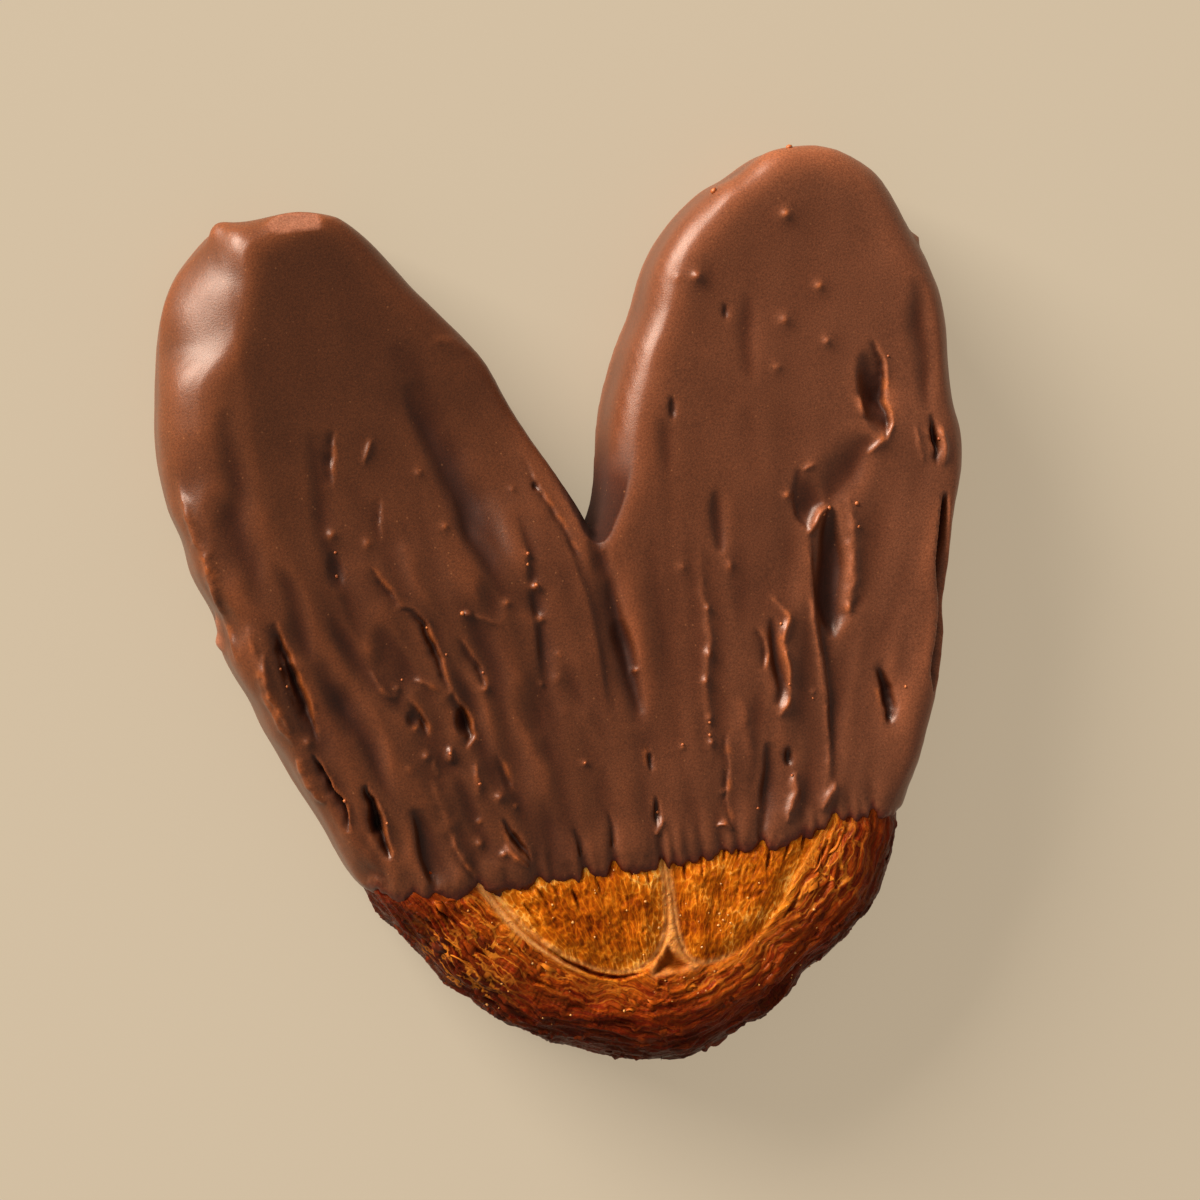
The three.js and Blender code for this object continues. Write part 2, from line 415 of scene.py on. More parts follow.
chocolateSet = {
    "voxel": 0.85,
    "cutBelow": 3.6,  # the dip line
    "fineMark": 0.16,  # faces are split where the marks' height changes by more
    "fullShadeDepth": 1.35,  # a mark this deep gets the full painted shade
    "dipEdge": 0.62,  # how thick the chocolate is above the dip line
    "farLeft": (-17, -25),  # where that edge gets thinner
    "lowPart": (78, 48),  # where the layers beneath begin to show, and show fully
    "waves": (3.6, 14, 51),  # waves along the layers, sunk and given painted shade: width, length, seed
    "dents": (3.4, 71),  # soft slanting dents on the left lobe, given painted shade: size, seed
    "furrow": 0.3,  # how deep a notch in the dip line runs on up the face
    "reliefRounds": 24,
    "leftFall": 5.5,  # the left lobe's face leans down towards the V
    "grain": [(0.34, 4.2, 22, 1), (0.1, 1.9, 11, 2)],  # layers showing through: height, width, length, seed
    # drips and flaps on the edges: x, y, z, reach, how far out, how pale (a painted highlight)
    "drips": [
        (45.7, 39.8, 11.5, 0.7, (1.6, 1.1, 0), 0),
        (-37.2, 50.8, 9, 1.4, (-0.4, 1, 0), 0.1),
        (-43.4, 4.2, 8, 1.3, (-1.1, 0, 0), 1),
        (-43.2, 6.4, 8.6, 1.2, (-0.8, 0, 0), 0.9),
    ],
    "facet": (-33, -26.2, 65),  # the left tip is broken off flat: from x, to x, and how high
    # soft shapes: kind, line, width, height
    "shapes": [
        ("groove", [
            (-7.8, 51), (-9.2, 55), (-11, 60), (-12.2, 64), (-13.2, 69), (-14.5, 75), (-15.8, 80), (-17, 85),
        ], 2.8, 0.55),
        ("fall", [
            (-9.6, 53), (-10.9, 56.5), (-12.6, 60.5), (-13.9, 65), (-15, 69.5), (-16.4, 75.5), (-17.2, 80),
        ], 1.5, 0.85),
        ("ridge", [(-13.2, 84.5), (-11, 84.3), (-8.6, 82.4)], 0.7, 0.25),
        ("fall", [(-27, 50), (-28.2, 55), (-29.4, 60), (-30, 66), (-29.6, 71), (-29.2, 76)], 1.4, 0.55),
        ("groove", [(-39, 80), (-38.8, 70), (-38.6, 60), (-37.5, 55)], 1.8, 0.5),
        ("groove", [(24.4, 85), (23.7, 79), (23.4, 74.5)], 1.2, 0.28),
        ("groove", [(12.4, 72), (11.8, 65)], 1, 0.22),
        ("groove", [(22.6, 72), (22.3, 63)], 1.6, 0.12),
        ("groove", [(17.8, 62.5), (17.4, 58.5), (17, 55)], 0.9, 0.6),
        ("groove", [(45.2, 84), (45.3, 76), (44.6, 68)], 1.3, 0.55),
        ("trough", [
            (29.6, 43), (29.5, 46), (29.9, 49.5), (30.2, 52), (30.8, 55), (31.6, 58.4),
        ], 1.45, 1.5),
        ("groove", [(30, 58.5), (31.8, 61.4), (34.4, 63.6), (37.6, 65.8)], 2, 0.75),
        ("ridge", [(33.6, 59.4), (33.4, 54), (32.6, 49), (31.6, 45.6)], 0.9, 0.5),
        ("fall", [(26.2, 24), (27.4, 30), (27.8, 38), (27.6, 45), (27.9, 52), (28.6, 57)], 0.7, 0.6),
        ("groove", [(21.9, 46.5), (22.1, 42), (22.2, 38), (21.2, 36)], 0.8, 0.9),
        ("fall", [(16.6, 20), (17.6, 24), (18.6, 28), (19.4, 32)], 0.9, 1.1),
        ("groove", [(22.1, 31), (21.8, 28.5)], 0.5, 0.7),
        ("fall", [(-6.2, 42), (-6.2, 47), (-6.2, 53), (-6, 59), (-6.4, 63)], 0.8, 0.75),
        ("groove", [(-8.4, 44), (-7.6, 37)], 1.5, 0.26),
        ("groove", [(-3.4, 45), (-2.2, 39)], 1.1, 0.24),
        ("fall", [(-22.6, 21), (-23.6, 26), (-23.8, 31)], 0.9, 1.2),
        ("groove", [(-37.6, 56), (-36, 50), (-34.8, 44), (-33.6, 38), (-31.6, 32), (-29.6, 27)], 1.5, 0.75),
        ("groove", [(-31.6, 50), (-30.2, 45), (-29.4, 40)], 1.5, 0.3),
        ("bank", [(5, 36), (5, 42), (4.6, 50), (3.2, 57.5)], 1.6, 1.2),
        ("groove", [(3.9, 49), (4.3, 44.5), (4.5, 41.5), (4.9, 37.6)], 1.3, 0.5),
        ("fall", [(1.4, 38), (1, 46), (0.6, 53), (-0.8, 60), (-3.2, 67)], 0.7, 0.5),
        ("groove", [(-18, 34), (-17, 30), (-15.3, 25)], 1.1, 0.5),
        ("fall", [(34, 47), (31, 44.6), (29.4, 43.6)], 1.2, 0.5),
        ("cleft", [
            (45.7, 58), (44.8, 53.4), (43.9, 49), (43.6, 45), (42.6, 41), (41.4, 37.4), (40.9, 34.4),
        ], 0.75, 3.6),
        ("ridge", [(27.2, 26), (26.1, 24), (25.3, 22.6)], 0.6, 0.6),
        ("ridge", [(22.5, 28), (21.7, 25), (20.6, 22)], 0.7, 0.7),
        ("ridge", [(16.5, 38), (17.5, 33), (17, 28)], 1.3, 0.35),
        ("ridge", [(-20.5, 34), (-19.6, 28), (-18.6, 23.5)], 1, 0.5),
    ],
    # crisp marks: the edges of the layers beneath
    "marks": [
        ("slit", [(5.1, 34), (5, 30.5)], 0.35, 0.45),
        ("slit", [(5.1, 28), (4.9, 24)], 0.4, 0.7),
        ("ridge", [(4.5, 23.2), (5.6, 25)], 0.35, 0.6),
        ("step", [
            (38.6, 65.2), (39.7, 66.6), (39.9, 68.4), (39.6, 70), (39.5, 71.6), (40.1, 73.4), (39.7, 75.4),
            (39, 77.4),
        ], 1.1, 1.2),
        ("ridge", [(36.6, 71.2), (36.3, 69.8), (36.9, 68.4)], 0.35, 0.55),
        ("ridge", [(36.6, 64), (38.4, 65), (40.2, 67)], 0.5, 0.5),
        ("fall", [(28.4, 56), (26.9, 57.6), (26.7, 60.5), (27.7, 63.6)], 0.7, 0.7),
        ("ridge", [(27.9, 55.6), (28.9, 57), (30, 58.2), (31.2, 58.7)], 0.5, 1),
        ("ridge", [(28.2, 63.2), (29.4, 63.8), (30.4, 63.7)], 0.3, 0.3),
        ("ridge", [(27.9, 56.5), (27.7, 50), (27.2, 45), (27.6, 38), (27.2, 31), (25.6, 24.5)], 0.4, 0.35),
        ("step", [(20.2, 40.4), (21.1, 42), (21.1, 43.6), (20.2, 45.8)], 0.7, 0.6),
        ("ridge", [
            (22.4, 49.2), (23.3, 47.8), (24.4, 46.4), (23.4, 44.8), (22.9, 43.4), (23.2, 41), (23.3, 38.6),
            (23.1, 37),
        ], 0.35, 0.65),
        ("ridge", [(23.1, 37), (22.2, 35.8), (21.2, 34.8)], 0.45, 0.55),
        ("ridge", [
            (14.4, 56), (14.2, 51.5), (14.4, 48), (14.4, 45.5), (13.7, 43), (13, 40), (12.9, 36), (12.7, 33),
            (12.1, 30),
        ], 0.6, 0.32),
        ("step", [(14, 22.6), (13.6, 25), (14.3, 29), (15, 34.5)], 0.5, 0.45),
        ("slit", [(34.5, 38.6), (35.3, 35.4), (35, 31.6)], 0.85, 1.1),
        ("groove", [(34.8, 39.5), (35.4, 35.4), (35.2, 30.6)], 1.3, 0.5),
        ("slit", [(45.1, 67.8), (45.3, 64.5), (44.8, 61.3)], 0.5, 1),
        ("ridge", [(46.1, 66.3), (46.2, 63.5), (45.8, 61.4)], 0.35, 0.5),
        ("ridge", [(42.9, 66.6), (43.3, 62)], 0.3, 0.35),
        ("step", [(-27.2, 69.5), (-26.7, 73), (-26, 75.8)], 1.5, 0.5),
        ("ridge", [(-22, 74.5), (-22.6, 73), (-23.4, 71.2)], 0.35, 0.35),
        ("step", [(-22.9, 62.3), (-22.3, 65), (-21.9, 67.5)], 0.8, 0.4),
        ("step", [(0.4, 57), (-0.8, 60.5), (-2.1, 63.7), (-3.3, 67), (-4.1, 69.8)], 0.7, 0.6),
        ("step", [(-21.5, 54.6), (-22.8, 56.6), (-24.3, 59.5)], 1.1, 0.6),
        ("step", [
            (-17.2, 43.6), (-17.4, 46), (-18.3, 50), (-19.3, 52.8), (-20.2, 53.9), (-21.7, 54.5),
        ], 0.9, 1),
        ("step", [(-16.4, 36.8), (-15.2, 38.4), (-15, 40.2), (-15.9, 41.4), (-17.2, 43.6)], 1.3, 1.1),
        ("step", [(-13.1, 43.6), (-13.1, 45.6), (-14.1, 47.8), (-15.4, 49.8)], 0.8, 0.75),
        ("ridge", [(-21.4, 45.8), (-19.8, 45.2), (-18.5, 43.9)], 0.3, 0.45),
        ("ridge", [(-26.4, 47.5), (-25.2, 45.2), (-24.2, 44), (-23.3, 44.4)], 0.3, 0.45),
        ("step", [(-20.3, 38.6), (-20.3, 40.6), (-21, 42.1), (-22.3, 43.6)], 0.9, 0.7),
        ("ridge", [(-18.2, 37.5), (-18.4, 36.6), (-18.5, 35.5)], 0.4, 0.7),
        ("ridge", [(-20.5, 36.4), (-20.1, 34.2)], 0.3, 0.35),
        ("ridge", [(-15.5, 35), (-15.6, 33), (-15.7, 31)], 0.42, 0.5),
        ("step", [(-11.5, 31), (-11.9, 33), (-12.9, 35.8)], 0.7, 0.6),
        ("slit", [(-13.3, 28.3), (-12.6, 26.2), (-11.6, 24.3), (-10.7, 22.5)], 0.5, 0.85),
        ("ridge", [(-13.6, 25.2), (-12.7, 23.4), (-11.2, 22)], 0.4, 0.5),
        ("step", [(-17, 21), (-19.1, 24.2), (-19.8, 27.5)], 0.6, 0.45),
        ("step", [(-31.4, 29.4), (-31.6, 32.6), (-33, 35.6), (-34.4, 39)], 0.95, 2.1),
        ("ridge", [(-36.2, 39), (-35.2, 36), (-34.2, 33)], 0.45, 0.6),
        ("step", [(-27, 25.6), (-27.2, 28.6), (-27.4, 31.6), (-28.6, 34.8)], 1.15, 2.3),
        ("step", [(-33.4, 40.4), (-33.8, 45), (-34.9, 49.4), (-36.4, 55)], 0.9, 1.4),
        ("ridge", [(-36.3, 52), (-35.6, 48.2), (-35, 45.2)], 0.25, 0.4),
        ("ridge", [(-38.4, 51.6), (-38.2, 48), (-37.4, 44.6), (-36.4, 42)], 0.4, 0.6),
        ("ridge", [(-39.8, 55), (-38.9, 49), (-37.7, 43.6), (-36.4, 40.4)], 0.6, 0.5),
        ("ridge", [(-45.2, 73), (-44.4, 68), (-43, 63), (-42.7, 58), (-41.2, 51)], 0.6, 0.7),
        ("ridge", [(-14.7, 52.6), (-13.4, 52.2)], 0.3, 0.6),
        ("ridge", [(-13.5, 52.3), (-12, 51.5), (-10, 50.4)], 0.3, 0.3),
        ("slit", [(-5, 26.4), (-4.7, 23.6), (-4.9, 21.5)], 0.4, 0.4),
        ("slit", [(-0.9, 27.4), (-0.5, 24.6), (-0.7, 21.5)], 0.4, 0.35),
        ("ridge", [(11.9, 23.2), (12.9, 23.6), (13.9, 22.4)], 0.35, 0.45),
    ],
    # dents and bumps: x, y, radius, height, and for the oval ones how long and how far turned
    "spots": [
        (38.2, 71.2, 2, -1.2, 2.7, 3), (21.7, 83.2, 0.45, -0.4, 2.6, -8), (13.7, 72.8, 0.55, -0.5, 3, -6),
        (28.9, 59.6, 1.7, -0.6, 1.9), (2.6, 57, 1.5, -0.45, 2.2), (-16.3, 40, 1.2, -0.7, 1.5),
        (-28.6, 59.6, 1.2, -0.5, 2.2), (-22.2, 41.3, 0.9, -0.5, 1.3), (-3.4, 65.9, 0.5, -0.5, 1.4),
        (-43, 72.5, 4, -0.4, 1.5, -20), (-45.2, 80.5, 4.5, 0.2, 1.3), (-42.4, 91, 5, 0.5, 1.6, 20),
        (-41, 65, 3.2, -0.5, 2), (30.5, 93.5, 0.95, 0.6), (18.8, 87.7, 0.85, 0.75), (16.5, 87.8, 0.4, 0.2),
        (28.6, 81.2, 0.95, 0.5), (33.4, 84.6, 0.8, 0.45), (33.4, 78, 0.65, 0.45), (26.9, 75.8, 0.7, 0.3),
        (26, 60.6, 0.65, 0.5), (12.1, 54, 0.7, 0.3), (17.9, 53.4, 0.7, 0.4, 1.5), (4.95, 42.8, 0.4, 0.6),
        (31.7, 46.2, 0.7, 0.6, 1.6), (26, 37, 0.35, 0.35), (14.5, 48.8, 0.4, 0.4),
        (13.8, 43.4, 0.6, 0.5, 1.5), (13, 40.3, 0.6, 0.45, 1.2), (12.9, 36, 0.4, 0.45), (12.7, 33, 0.4, 0.5),
        (13.4, 27, 0.4, 0.45), (9.2, 33, 0.4, 0.35), (5.1, 33, 0.35, 0.5), (-28.4, 63.9, 0.9, 0.55),
        (-24.4, 62.3, 0.8, 0.4, 1.3), (-17, 69.5, 0.7, 0.35), (-15, 62.9, 0.6, 0.35),
        (-20.3, 61, 0.35, 0.25), (-6.2, 66, 0.4, 0.3), (-13.1, 43.5, 0.5, 0.5), (-23.4, 45.1, 0.6, 0.4),
        (-22, 40.2, 0.5, 0.35), (-21.2, 36.8, 0.75, 0.6), (-23.4, 35.6, 0.5, 0.35),
        (-13.3, 30.7, 0.85, 0.65), (-16.1, 28.2, 0.5, 0.35), (-16.4, 25.7, 0.65, 0.55),
        (-13.9, 24, 0.55, 0.55), (-11.6, 29.3, 0.4, 0.35), (-34.7, 40.5, 0.85, 0.5), (-5.6, 54.4, 0.75, 0.9),
        (-5.5, 50.5, 0.7, 0.75), (-5.9, 58.3, 0.35, 0.4, 1.8), (-9.2, 53, 0.6, 0.35), (-2.7, 33, 0.45, 0.4),
        (-3.8, 46.2, 0.4, 0.35), (-6.4, 43, 0.4, 0.3), (-4.5, 43.3, 0.8, 0.25), (-4.2, 39.4, 0.4, 0.25),
        (47.6, 88.4, 0.6, 0.9),
    ],
    # the dip line: x, how far it is notched (or runs down), half width
    "scallops": [
        (-35, 3.2, 4), (-29.5, 1.4, 1.2), (-25, 1.1, 0.9), (-22.5, 0.7, 0.5), (-20, -0.5, 1.2),
        (-17.3, 1.3, 0.7), (-10, -1.2, 8), (8, -1.6, 9), (21, -0.7, 6), (-13.9, 0.5, 0.5), (-10, 1.5, 0.7),
        (-8.3, 0.8, 0.4), (-5.2, -0.5, 0.5), (-4.4, 1.4, 0.5), (-2.4, -0.3, 0.9), (-0.8, 1.5, 0.5),
        (2.2, -0.4, 1.4), (5, 1.6, 0.4), (6.4, 0.7, 0.4), (8, 0.6, 0.4), (9.8, 0.8, 0.4), (12.4, 1.2, 0.6),
        (14.2, 0.7, 0.4), (17.3, 1.1, 0.5), (19, -0.5, 1.2), (22.5, 0.7, 0.6), (24.3, 0.7, 0.4),
        (26.6, 2.3, 0.8), (28.4, 1.4, 0.5), (30, 0.5, 0.4), (31.4, 1.9, 0.5), (33.8, -0.3, 1),
    ],
}


def liftAt(at, cfg):
    # height of all the marks, and where crumb shows through their crests, with a painted glint on crests and
    # nub tops
    lift = np.zeros(len(at))
    warm = np.zeros(len(at))
    for kind, line, width, height in cfg["shapes"]:
        lift += stroke(at, kind, line, width, height, 0.4)[0]
    for kind, line, width, height in cfg["marks"]:
        mark, crest = stroke(at, kind, line, width, height)
        lift += mark
        warm = np.maximum(warm, 0.55 * crest * (abs(height) > 0.4))
    for x, y, radius, height, *oval in cfg["spots"]:
        mark = spot(at, x, y, radius, height, *oval)
        lift += mark
        if height > 0.3 and radius < 1:
            warm = np.maximum(warm, 0.6 * np.clip(mark / height, 0, 1) ** 2)
    return lift, warm * smooth(-0.1, 0.3, lumps(withHeight(at), 1.8, 11))


def grainNoise(at, across, along, seed):
    # noise drawn out along the lobes' layers, which fan out from the base
    fan = np.arctan2(at[:, 0] - 3, at[:, 1] + 60) * 110
    return lumps(np.column_stack([fan / across, at[:, 1] / along, np.zeros(len(at))]), 1, seed)


def dipLine(at, cfg):
    scallop = -0.5 * smooth(*cfg["farLeft"], at[:, 0])
    for x, deep, half in cfg["scallops"]:
        scallop += deep * (0.8 if deep > 0 else 1) * bell((at[:, 0] - x) / half)
    return scallop


def chocolateBlank(cfg):
    dip = formSet["dipY"]
    piece = loft("chocolate", bodyRings(0, 0, formSet["top"]))
    editAll(piece)
    below = (0, (dip - cfg["cutBelow"]) * mm, 0)
    bpy.ops.mesh.bisect(plane_co=below, plane_no=(0, 1, 0), clear_inner=True, use_fill=True)
    bpy.ops.object.mode_set(mode="OBJECT")
    remesh(piece, cfg["voxel"])
    refine(piece, lambda c, n: (c[:, 2] > 4.5) & (c[:, 1] > dip - 3))
    relax(piece, 6)
    steep = liftAt(seenAt(verts(piece)), cfg)[0] * smooth(0.1, 0.5, normals(piece) @ towardEye)
    refineWhere(piece, steep, cfg["fineMark"])
    refine(piece, lambda c, n: (np.abs(c[:, 1] - dip - 0.4) < 2.6) & (n @ towardEye > 0.2))
    return piece


def makeChocolate(cfg):
    piece = chocolateBlank(cfg)
    co = verts(piece)
    no = normals(piece)
    at = seenAt(co)
    facing = smooth(0.1, 0.5, no @ towardEye)
    low = smooth(*cfg["lowPart"], at[:, 1])
    left = smooth(4, -8, at[:, 0])
    wall = 1 - smooth(0.5, 0.9, no[:, 2])
    back = smooth(-0.5, -0.9, no[:, 2])

    # painted shade: darker in the marks' hollows, the waves and dents, over the lower left lobe and on the
    # right lobe's inner wall, and deepest between the lobes, where it is also dull and rough
    lift, warm = liftAt(at, cfg)
    hollow = (np.clip(-lift / cfg["fullShadeDepth"], 0, 1) ** 1.2 + 0.6 * smooth(1.5, 2.6, -lift)) * facing
    waves = np.clip(grainNoise(at, *cfg["waves"]) * 2.2 - 0.1, 0, 1)
    slanted = np.column_stack([at[:, 0] + 0.3 * at[:, 1], 0.45 * at[:, 1], 0 * at[:, 0]])
    dents = np.clip(lumps(slanted, *cfg["dents"]) * 2.4 - 0.25, 0, 1)
    # painted shade in the sunk waves and dents, and over the lower left lobe
    dark = np.maximum((0.24 + 0.2 * left) * low * waves, 0.24 * left * low * dents)
    hollow = np.maximum(hollow, dark * facing) + 0.12 * left * low
    # painted shadow of the left lobe on the walls between the lobes, which are also made rougher
    betweenLobes = np.hypot(co[:, 0] - 2.0, 0.5 * (co[:, 1] - 8.0))
    dull = smooth(9.5, 2.5, betweenLobes) * (1 - smooth(0.8, 0.98, no[:, 2]))
    hollow = np.maximum(hollow, 1.3 * dull)
    # painted shade on the right lobe's inner wall
    shadedInnerWall = smooth(-0.2, -0.7, no[:, 0]) * smooth(0.7, 0.3, no[:, 2]) * smooth(0, 2, co[:, 0])
    hollow = np.maximum(hollow, 0.28 * shadedInnerWall)

    # the layers beneath, and soft unevenness
    lift -= 0.5 * left * low * dents
    lift -= (0.16 + 0.14 * left) * low * waves
    lift += low * sum(high * grainNoise(at, *grain) for high, *grain in cfg["grain"])
    for x, deep, half in cfg["scallops"]:  # a short furrow runs up from each notch
        lift -= cfg["furrow"] * deep * bell((at[:, 0] - x) / (1.3 * half)) * smooth(26.5, 21.5, at[:, 1])
    lift += 0.42 * low * smooth(0, -12, at[:, 0]) * grainNoise(at, 3.0, 11, 31)
    lift += 0.25 * low * (np.abs(grainNoise(at, 5.5, 16, 41)) - 0.2) * smooth(4, -4, at[:, 0])
    lift += 0.1 * grainNoise(at, 4, 18, 3) + 0.015 * lumps(co, 1.3, 8)
    soft = 0.3 * lumps(co, 11, 1) + 0.05 * lumps(co, 4.5, 2)
    lift = lift * facing + soft * (1 + 0.6 * wall) * (1 - back)

    # the dip line: full thickness above it, and under the pastry's skin below it
    flat = withHeight(at)
    ragged = 0.34 * lumps(flat, 0.9, 13) + 0.5 * np.abs(lumps(flat * (1, 0.3, 1), 0.5, 15)) * facing
    above = co[:, 1] - formSet["dipY"] - dipLine(at, cfg) - ragged - 0.4 * lumps(co, 2.2, 14) * (1 - facing)
    edgeRun = 0.55 + 0.75 * smooth(*cfg["farLeft"], at[:, 0])
    coat = np.where(above > 0, cfg["dipEdge"] * (1 - np.exp(-above / edgeRun)), 0.9 * above)
    under = smooth(3, 0, above)
    lift = np.where(lift < 0, lift * (1 - 0.9 * under), lift * (1 - 0.6 * under))
    lift = lift + (np.maximum(coat, -1.6) - cfg["dipEdge"]) * (1 - back)
    co += no * lift[:, None]

    # the broken left tip and the drips; facet is where they are painted pale: the broken face, paler and with
    # a painted highlight, and the pale drips, a painted highlight
    x0, x1, high = cfg["facet"]
    over = co[:, 1] + co[:, 2] - high - 0.3 * lumps(co, 2.5, 61)
    here = smooth(x0 - 0.4, x0 + 0.4, co[:, 0]) * smooth(x1 + 0.4, x1 - 0.4, co[:, 0])
    facet = here * smooth(-0.1, 0.1, over)
    cut = here * (np.maximum(over, 0) - facet * 0.14 * lumps(co, 0.6, 62))
    co[:, 1:] -= 0.5 * cut[:, None]
    for x, y, height, reach, out, light in cfg["drips"]:
        near = np.exp(-(((co - (x, y, height)) / reach) ** 2).sum(1))
        co += near[:, None] * np.array(out)
        facet = np.maximum(facet, light * near)

    # the left lobe's lean
    inner = np.clip((co[:, 0] + 38) / 31, 0, 1) * (co[:, 0] < 1)
    rise = np.clip(co[:, 2] / formSet["top"], 0, 1)
    co[:, 2] -= cfg["leftFall"] * inner * smooth(5, 30, co[:, 1]) * rise
    co[:, 2] = np.maximum(co[:, 2], 0)
    setVerts(piece, co)
    dipRim = smooth(1.7, 0.0, above) * (1 - back)
    saveValues(piece, relief=relief(piece, co, cfg["reliefRounds"]), warm=warm * facing)
    saveValues(piece, hollow=hollow, dull=dull, facet=facet, dipRim=dipRim)
    relax(piece, 1)
    bpy.ops.object.shade_smooth()
    print("chocolate made:", len(piece.data.polygons), "faces")
    return piece


# The baked pastry

pastrySet = {
    "voxel": 1.32,
    "top": 14.45,
    "bottom": 0.9,
    "coverStep": 0.55,  # how far the coated part lies inside the coat
    "sink": 0.45,  # how much deeper it lies just above the dip line
    "lowest": 0.6,
    "bareUp": 4.5,  # how far above the dip line the fine surface goes
    "layers": [(2.1, 0.36, 1), (1.1, 0.26, 2), (0.62, 0.17, 3)],  # of the wrap: width, height, seed
    "fibres": [(0.9, 2.6, 0.09, 7), (0.5, 1.2, 0.07, 8)],  # of the rolls: width, length, height, seed
    "webs": [(-18.5, 12.8, 6.5, 4.6, 1), (24, 17, 5, 5, 0.8)],  # golden strands: x, y, half sizes, how many
    "slitSize": (0.24, 0.6),  # half width, depth
    "gapSize": (0.26, 1.3, 0.15),  # half width, depth, roughness
    "seamDepth": 0.15,
    "holeDepth": 1.0,
    "reliefRounds": 12,
    # the two rolls, each by its rounded lower edge
    "leftRoll": [
        (-17.6, 22.6), (-15, 18), (-13, 15), (-10.5, 12.4), (-8, 10.2), (-5, 8.3), (-2, 7.4), (0, 7.4),
        (2, 8.2), (3.6, 9.9), (4.5, 12), (4.9, 15), (5.1, 23),
    ],
    "rightRoll": [
        (26.5, 23), (22, 17.2), (18.4, 12.4), (16, 9.9), (13.5, 8.2), (11, 7.2), (8.4, 6.9), (6.6, 7.6),
        (5.7, 9.4), (5.4, 12), (5.4, 23),
    ],
    "gap": [(-10.5, 12.2), (-8, 10), (-5, 8), (-2, 7.1), (0, 7.1), (1.4, 7.6)],
    "slits": [
        (9.6, 21.5, 9.3, 17.2), (12.6, 21, 12.1, 18.6), (17.9, 19.6, 17.1, 16.6), (-8.9, 20, -7.9, 17.2),
        (-6.6, 18.6, -5.9, 16), (-3.6, 20, -3, 17.6), (-12.6, 18.2, -10.4, 14.4), (20.6, 20.5, 19.4, 17.4),
        (7.4, 20.2, 7.2, 17.2), (22.8, 21.4, 21.8, 18.4), (0.6, 20.4, 0.9, 18.4), (14.4, 21, 13.8, 18.8),
        (-10.8, 19.8, -9.4, 17.2), (2.6, 19.5, 2.8, 17.2), (-22.6, 19, -20.2, 16.4),
        (-19.2, 14.2, -16.8, 11.2), (-22.4, 15.6, -19.6, 12.2), (25.4, 19.6, 23.4, 16.2),
        (21.2, 13.8, 18.4, 10.6), (-13.2, 9.2, -9.2, 6.6),
    ],
    "hole": [(4.1, 10.2), (1.9, 6.8), (6.8, 6.7)],  # a little three-cornered hollow between the rolls
}


def inside(offset):
    return smooth(-0.25, 0.25, offset)


def pastryBlank(cfg):
    dip = formSet["dipY"]
    covered = smooth(dip + 2, dip + 6, outline[:, 1])
    inset = 0.05 + cfg["coverStep"] * smooth(dip - 3, dip + 1, outline[:, 1]) + 3 * covered
    piece = loft("bakedPastry", bodyRings(inset, cfg["bottom"], cfg["top"]))
    remesh(piece, cfg["voxel"])
    co = verts(piece)
    co[:, 2] *= 1 - 0.4 * smooth(dip + 3, dip + 8, co[:, 1])
    setVerts(piece, co)
    bare = dip + cfg["bareUp"]
    refine(piece, lambda c, n: c[:, 1] < bare)
    refine(piece, lambda c, n: (c[:, 1] < bare) & (c[:, 2] > 2) & (n[:, 2] > -0.7))
    refine(piece, lambda c, n: (c[:, 1] < bare - 1.5) & (n @ towardEye > 0.22))
    relax(piece, 4)
    return piece


def holeAt(corners, at, co):
    hole = np.full(len(at), 9.0)
    for (x0, y0), (x1, y1) in zip(corners, corners[1:] + corners[:1]):
        side = math.hypot(x1 - x0, y1 - y0)
        hole = np.minimum(hole, ((x1 - x0) * (at[:, 1] - y0) - (y1 - y0) * (at[:, 0] - x0)) / side)
    return smooth(-0.25, 0.9, hole + 0.35 * lumps(withHeight(at, co[:, 2]), 1.2, 34))


